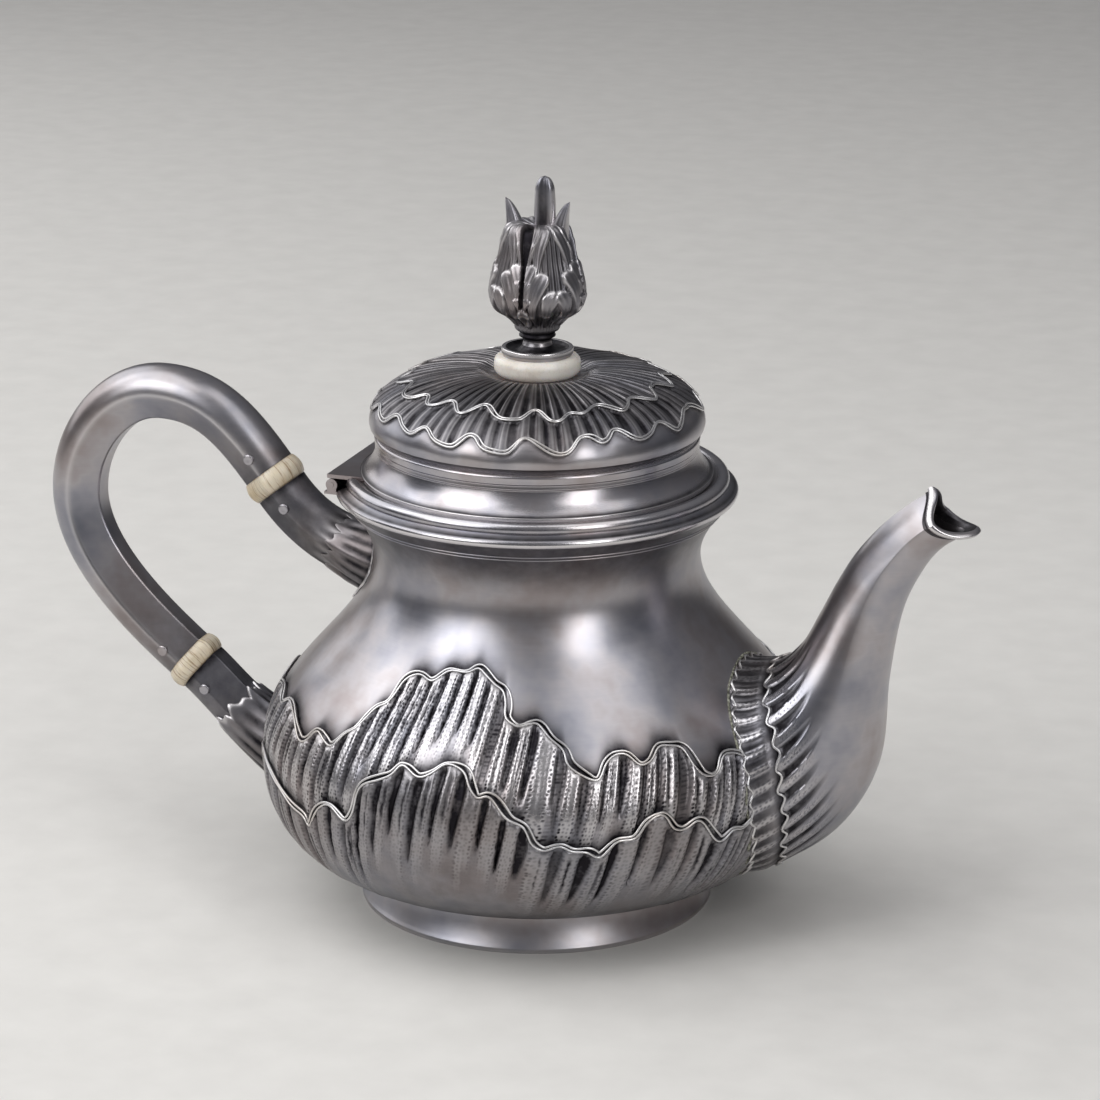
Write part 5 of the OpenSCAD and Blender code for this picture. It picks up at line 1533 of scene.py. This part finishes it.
def handle_pins():
    """The four pins, set out by Geometry Nodes at their places."""
    tree = bpy.data.node_groups.new("pins_at_places", "GeometryNodeTree")
    face = tree.interface
    face.new_socket("Places", in_out="INPUT", socket_type="NodeSocketGeometry")
    pin_input = face.new_socket("Pin", in_out="INPUT", socket_type="NodeSocketObject").identifier
    size_input = face.new_socket("Size", in_out="INPUT", socket_type="NodeSocketFloat").identifier
    finish_input = face.new_socket("Finish", in_out="INPUT", socket_type="NodeSocketMaterial").identifier
    face.new_socket("Pins", in_out="OUTPUT", socket_type="NodeSocketGeometry")
    kinds = ("NodeGroupInput", "GeometryNodeObjectInfo", "GeometryNodeInstanceOnPoints",
             "GeometryNodeRealizeInstances", "GeometryNodeSetMaterial", "NodeGroupOutput")
    start, info, each, real, finished, end = [tree.nodes.new(kind) for kind in kinds]
    for source, target in (
            (start.outputs["Places"], each.inputs["Points"]), (start.outputs["Pin"], info.inputs[0]),
            (info.outputs["Geometry"], each.inputs["Instance"]),
            (start.outputs["Size"], each.inputs["Scale"]),
            (each.outputs[0], real.inputs[0]), (real.outputs[0], finished.inputs[0]),
            (start.outputs["Finish"], finished.inputs["Material"]), (finished.outputs[0], end.inputs[0])):
        tree.links.new(source, target)
    mesh = bpy.data.meshes.new("pins")
    mesh.from_pydata([[v * MM for v in p] for p in pin_places()], [], [])
    holder, pin = new_piece("pins_places", mesh), pin_piece()
    modifier = holder.modifiers.new("pins", "NODES")
    modifier.node_group = tree
    modifier[pin_input], modifier[size_input], modifier[finish_input] = pin, 1.0, SATIN
    solid = evaluated(holder)
    bpy.data.objects.remove(holder)
    bpy.data.objects.remove(pin)
    return new_piece("handle_pins", solid)


# ---- Studio ----

CAMERA_AT = (0.2689, -0.7555, 0.3257)
CAMERA_DOWN, CAMERA_ROUND, CAMERA_ROLL = 17.32, 19.4, 0.12
LENS = 131.3
FLOOR_SIDE = 12.0

# Softboxes as [name, power, width and height, place, what it faces]: a wide key left of the camera, a big one
# far left and behind, two overhead with the bright one on the left, and an upright one on the right
SOFTBOXES = [
    ("key", 3.6, (0.7, 0.7), (-0.52, -0.85, 0.7), (0, 0, 0.06)),
    ("back_left", 4.2, (1.0, 1.0), (-0.95, 0.3, 0.62), (0, 0, 0.06)),
    ("top_left", 6.2, (1.1, 1.1), (-0.55, -0.35, 0.95), (0, 0, 0.05)),
    ("top_right", 2.2, (0.7, 0.9), (0.5, -0.15, 1.05), (0, 0, 0.05)),
    ("right", 2.0, (0.3, 0.6), (0.66, -0.52, 0.5), (0, 0, 0.07)),
]

# The room from straight down to straight up, dimmer below so that the silver has something to mirror
ROOM = [(0.0, "3c3c3e"), (0.5, "505053"), (0.62, "7c7c80"), (0.8, "a6a6a9"), (1.0, "b0b0b2")]
ROOM_STRENGTH = 0.6


def place_camera():
    lens = bpy.data.cameras.new("camera")
    lens.lens, lens.sensor_width = LENS, 36.0
    camera = bpy.data.objects.new("camera", lens)
    camera.location = CAMERA_AT
    aim = Euler((math.radians(90 - CAMERA_DOWN), 0, math.radians(CAMERA_ROUND))).to_matrix()
    camera.rotation_euler = (aim @ Matrix.Rotation(math.radians(CAMERA_ROLL), 3, "Z")).to_euler()
    bpy.context.scene.collection.objects.link(camera)
    bpy.context.scene.camera = camera


def place_softboxes():
    for name, power, size, place, target in SOFTBOXES:
        lamp = bpy.data.lights.new(name, "AREA")
        lamp.shape, lamp.energy = "RECTANGLE", power
        lamp.size, lamp.size_y = size
        box = bpy.data.objects.new(name, lamp)
        box.location = place
        box.rotation_euler = (Vector(target) - Vector(place)).to_track_quat("-Z", "Y").to_euler()
        bpy.context.scene.collection.objects.link(box)


def light_room():
    world = bpy.data.worlds.new("studio")
    bpy.context.scene.world = world
    world.use_nodes = True
    add = partial(add_node, world.node_tree)
    shade = world.node_tree.nodes["Background"]
    height = add("SeparateXYZ", out="Z", Vector=add("TexCoord"))
    sky = add("ValToRGB", Fac=add("MapRange", Value=height, From_Min=-1.0, From_Max=1.0), stops=ROOM)
    world.node_tree.links.new(sky, shade.inputs["Color"])
    shade.inputs["Strength"].default_value = ROOM_STRENGTH


def lay_paper():
    """Matt pale paper on the floor."""
    paper, shader, add = new_material("studio_paper")
    fibre = add("TexNoise", Vector=add("TexCoord", out="Object"), Scale=1 / (FIBRE_PATCH * MM), Detail=4.0)
    tint = add("ValToRGB", Fac=fibre, stops=[(0.3, "dad8d4"), (0.7, "e0deda")])
    paper.node_tree.links.new(tint, shader.inputs["Base Color"])
    shader.inputs["Roughness"].default_value = 0.9
    mesh = bpy.data.meshes.new("floor")
    half = FLOOR_SIDE / 2
    corners = [(-half, -half, 0), (half, -half, 0), (half, half, 0), (-half, half, 0)]
    mesh.from_pydata(corners, [], [(0, 1, 2, 3)])
    mesh.materials.append(paper)
    floor = new_piece("floor", mesh)


# ---- Assembly ----
# Wires' radii, how far they stand off their surface, the gap between a ridge's two lines, and how much
# thinner the second line is

RIDGE_WIRE, RIDGE_LIFT, RIDGE_GAP, RIDGE_THINNER = 0.25, 0.32, 0.95, 0.75
LID_LIFT, LID_THINNER = 0.3, 0.8
NECK_WIRE, NECK_LINES_Z = 0.16, (85.2, 86.0)
SPOUT_WIRE, RESIDUE_WIRE = 0.3, 0.32


def dress(piece, body, slot, *nodes):
    """Gives a piece its body and hides the nodes it stands for. slot is not used."""
    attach(piece, body)
    if nodes:
        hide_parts(*nodes)


def coat(finish, *nodes):
    """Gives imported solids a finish."""
    for node in nodes:
        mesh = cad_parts[node].data
        mesh.materials.clear()
        mesh.materials.append(finish)


body = body_piece()
cut(body, strainer_cutters())
dress(body, "pot", "silver", "body_shell")
for name, ridge in (("upper_ridge", UPPER), ("lower_ridge", LOWER)):
    dress(wires(name, ridge_lines(BODY, ridge, RIDGE_LIFT, RIDGE_GAP), RIDGE_WIRE, thinner=RIDGE_THINNER),
          "pot", "silver")
neck_lines = [ring(*BODY.at(BODY.s_at_height(z)), 200) for z in NECK_LINES_Z]
dress(wires("neck_lines", neck_lines, NECK_WIRE, PLAIN, closed=True), "pot", "silver")
dress(rim_piece(), "pot", "silver", "mouth_rim")
dress(foot_piece(), "pot", "silver", "foot_ring")

dress(spout_piece(), "pot", "silver", "spout")
dress(lip_piece(), "pot", "silver", "spout_lip")
dress(collar_piece(), "pot", "silver", "spout_collar")
dress(wires("spout_edge", [spout_edge_line(0.7)], SPOUT_WIRE, closed=True), "pot", "silver")
dress(wires("collar_edge", [collar_edge_line(0.45, 0.1)], SPOUT_WIRE, closed=True), "pot", "silver")
dress(wires("dried_polish_line", [residue_line()], RESIDUE_WIRE, RESIDUE, closed=True), "pot", "silver")

dress(grip_piece(), "pot", "silver", "handle_grip")
UPPER_PATH, LOWER_PATH = socket_paths()
dress(socket_piece("upper_socket_fluted", UPPER_PATH, UPPER_ROOT, 14, 0.45), "pot", "silver", "upper_socket")
dress(socket_piece("lower_socket_fluted", LOWER_PATH, LOWER_ROOT, 10, 0.5), "pot", "silver", "lower_socket")
dress(leaf_piece("upper_leaf", UPPER_PATH, UPPER_ROOT, 0.66, 9, 0.12), "pot", "silver", "upper_socket_leaf")
dress(leaf_piece("lower_leaf", LOWER_PATH, LOWER_ROOT, 0.44, 8, 0.6), "pot", "silver", "lower_socket_leaf")
dress(insulator_piece("upper_bone", UPPER_C, UPPER_DIR, -1, UPPER_T), "pot", "bone", "upper_insulator")
dress(insulator_piece("lower_bone", LOWER_C, LOWER_DIR, 1, LOWER_T), "pot", "bone", "lower_insulator")
dress(handle_pins(), "pot", "silver", "upper_grip_pin", "upper_socket_pin", "lower_grip_pin",
      "lower_socket_pin")

dress(dome_piece(), "lid", "silver", "lid_dome")
for name, ridge, gap, radius in (("lid_outer_edge", OUTER, 0.65, 0.22), ("lid_inner_edge", INNER, 0.6, 0.2)):
    dress(wires(name, ridge_lines(DOME, ridge, LID_LIFT, gap), radius, thinner=LID_THINNER), "lid", "silver")
dress(gallery_piece(), "lid", "silver", "lid_gallery")
dress(disc_piece(), "lid", "bone", "finial_disc")
dress(plate_piece(), "lid", "silver", "finial_plate")
dress(bud_piece(), "lid", "silver", "finial_bud")
coat(PLAIN, "hinge_bracket", "hinge_pin", "lid_hinge_leaf", "lid_bezel", "finial_stud", "finial_washer",
     "finial_nut")

place_camera()
place_softboxes()
light_room()
lay_paper()
bpy.context.scene.view_settings.view_transform = "Standard"
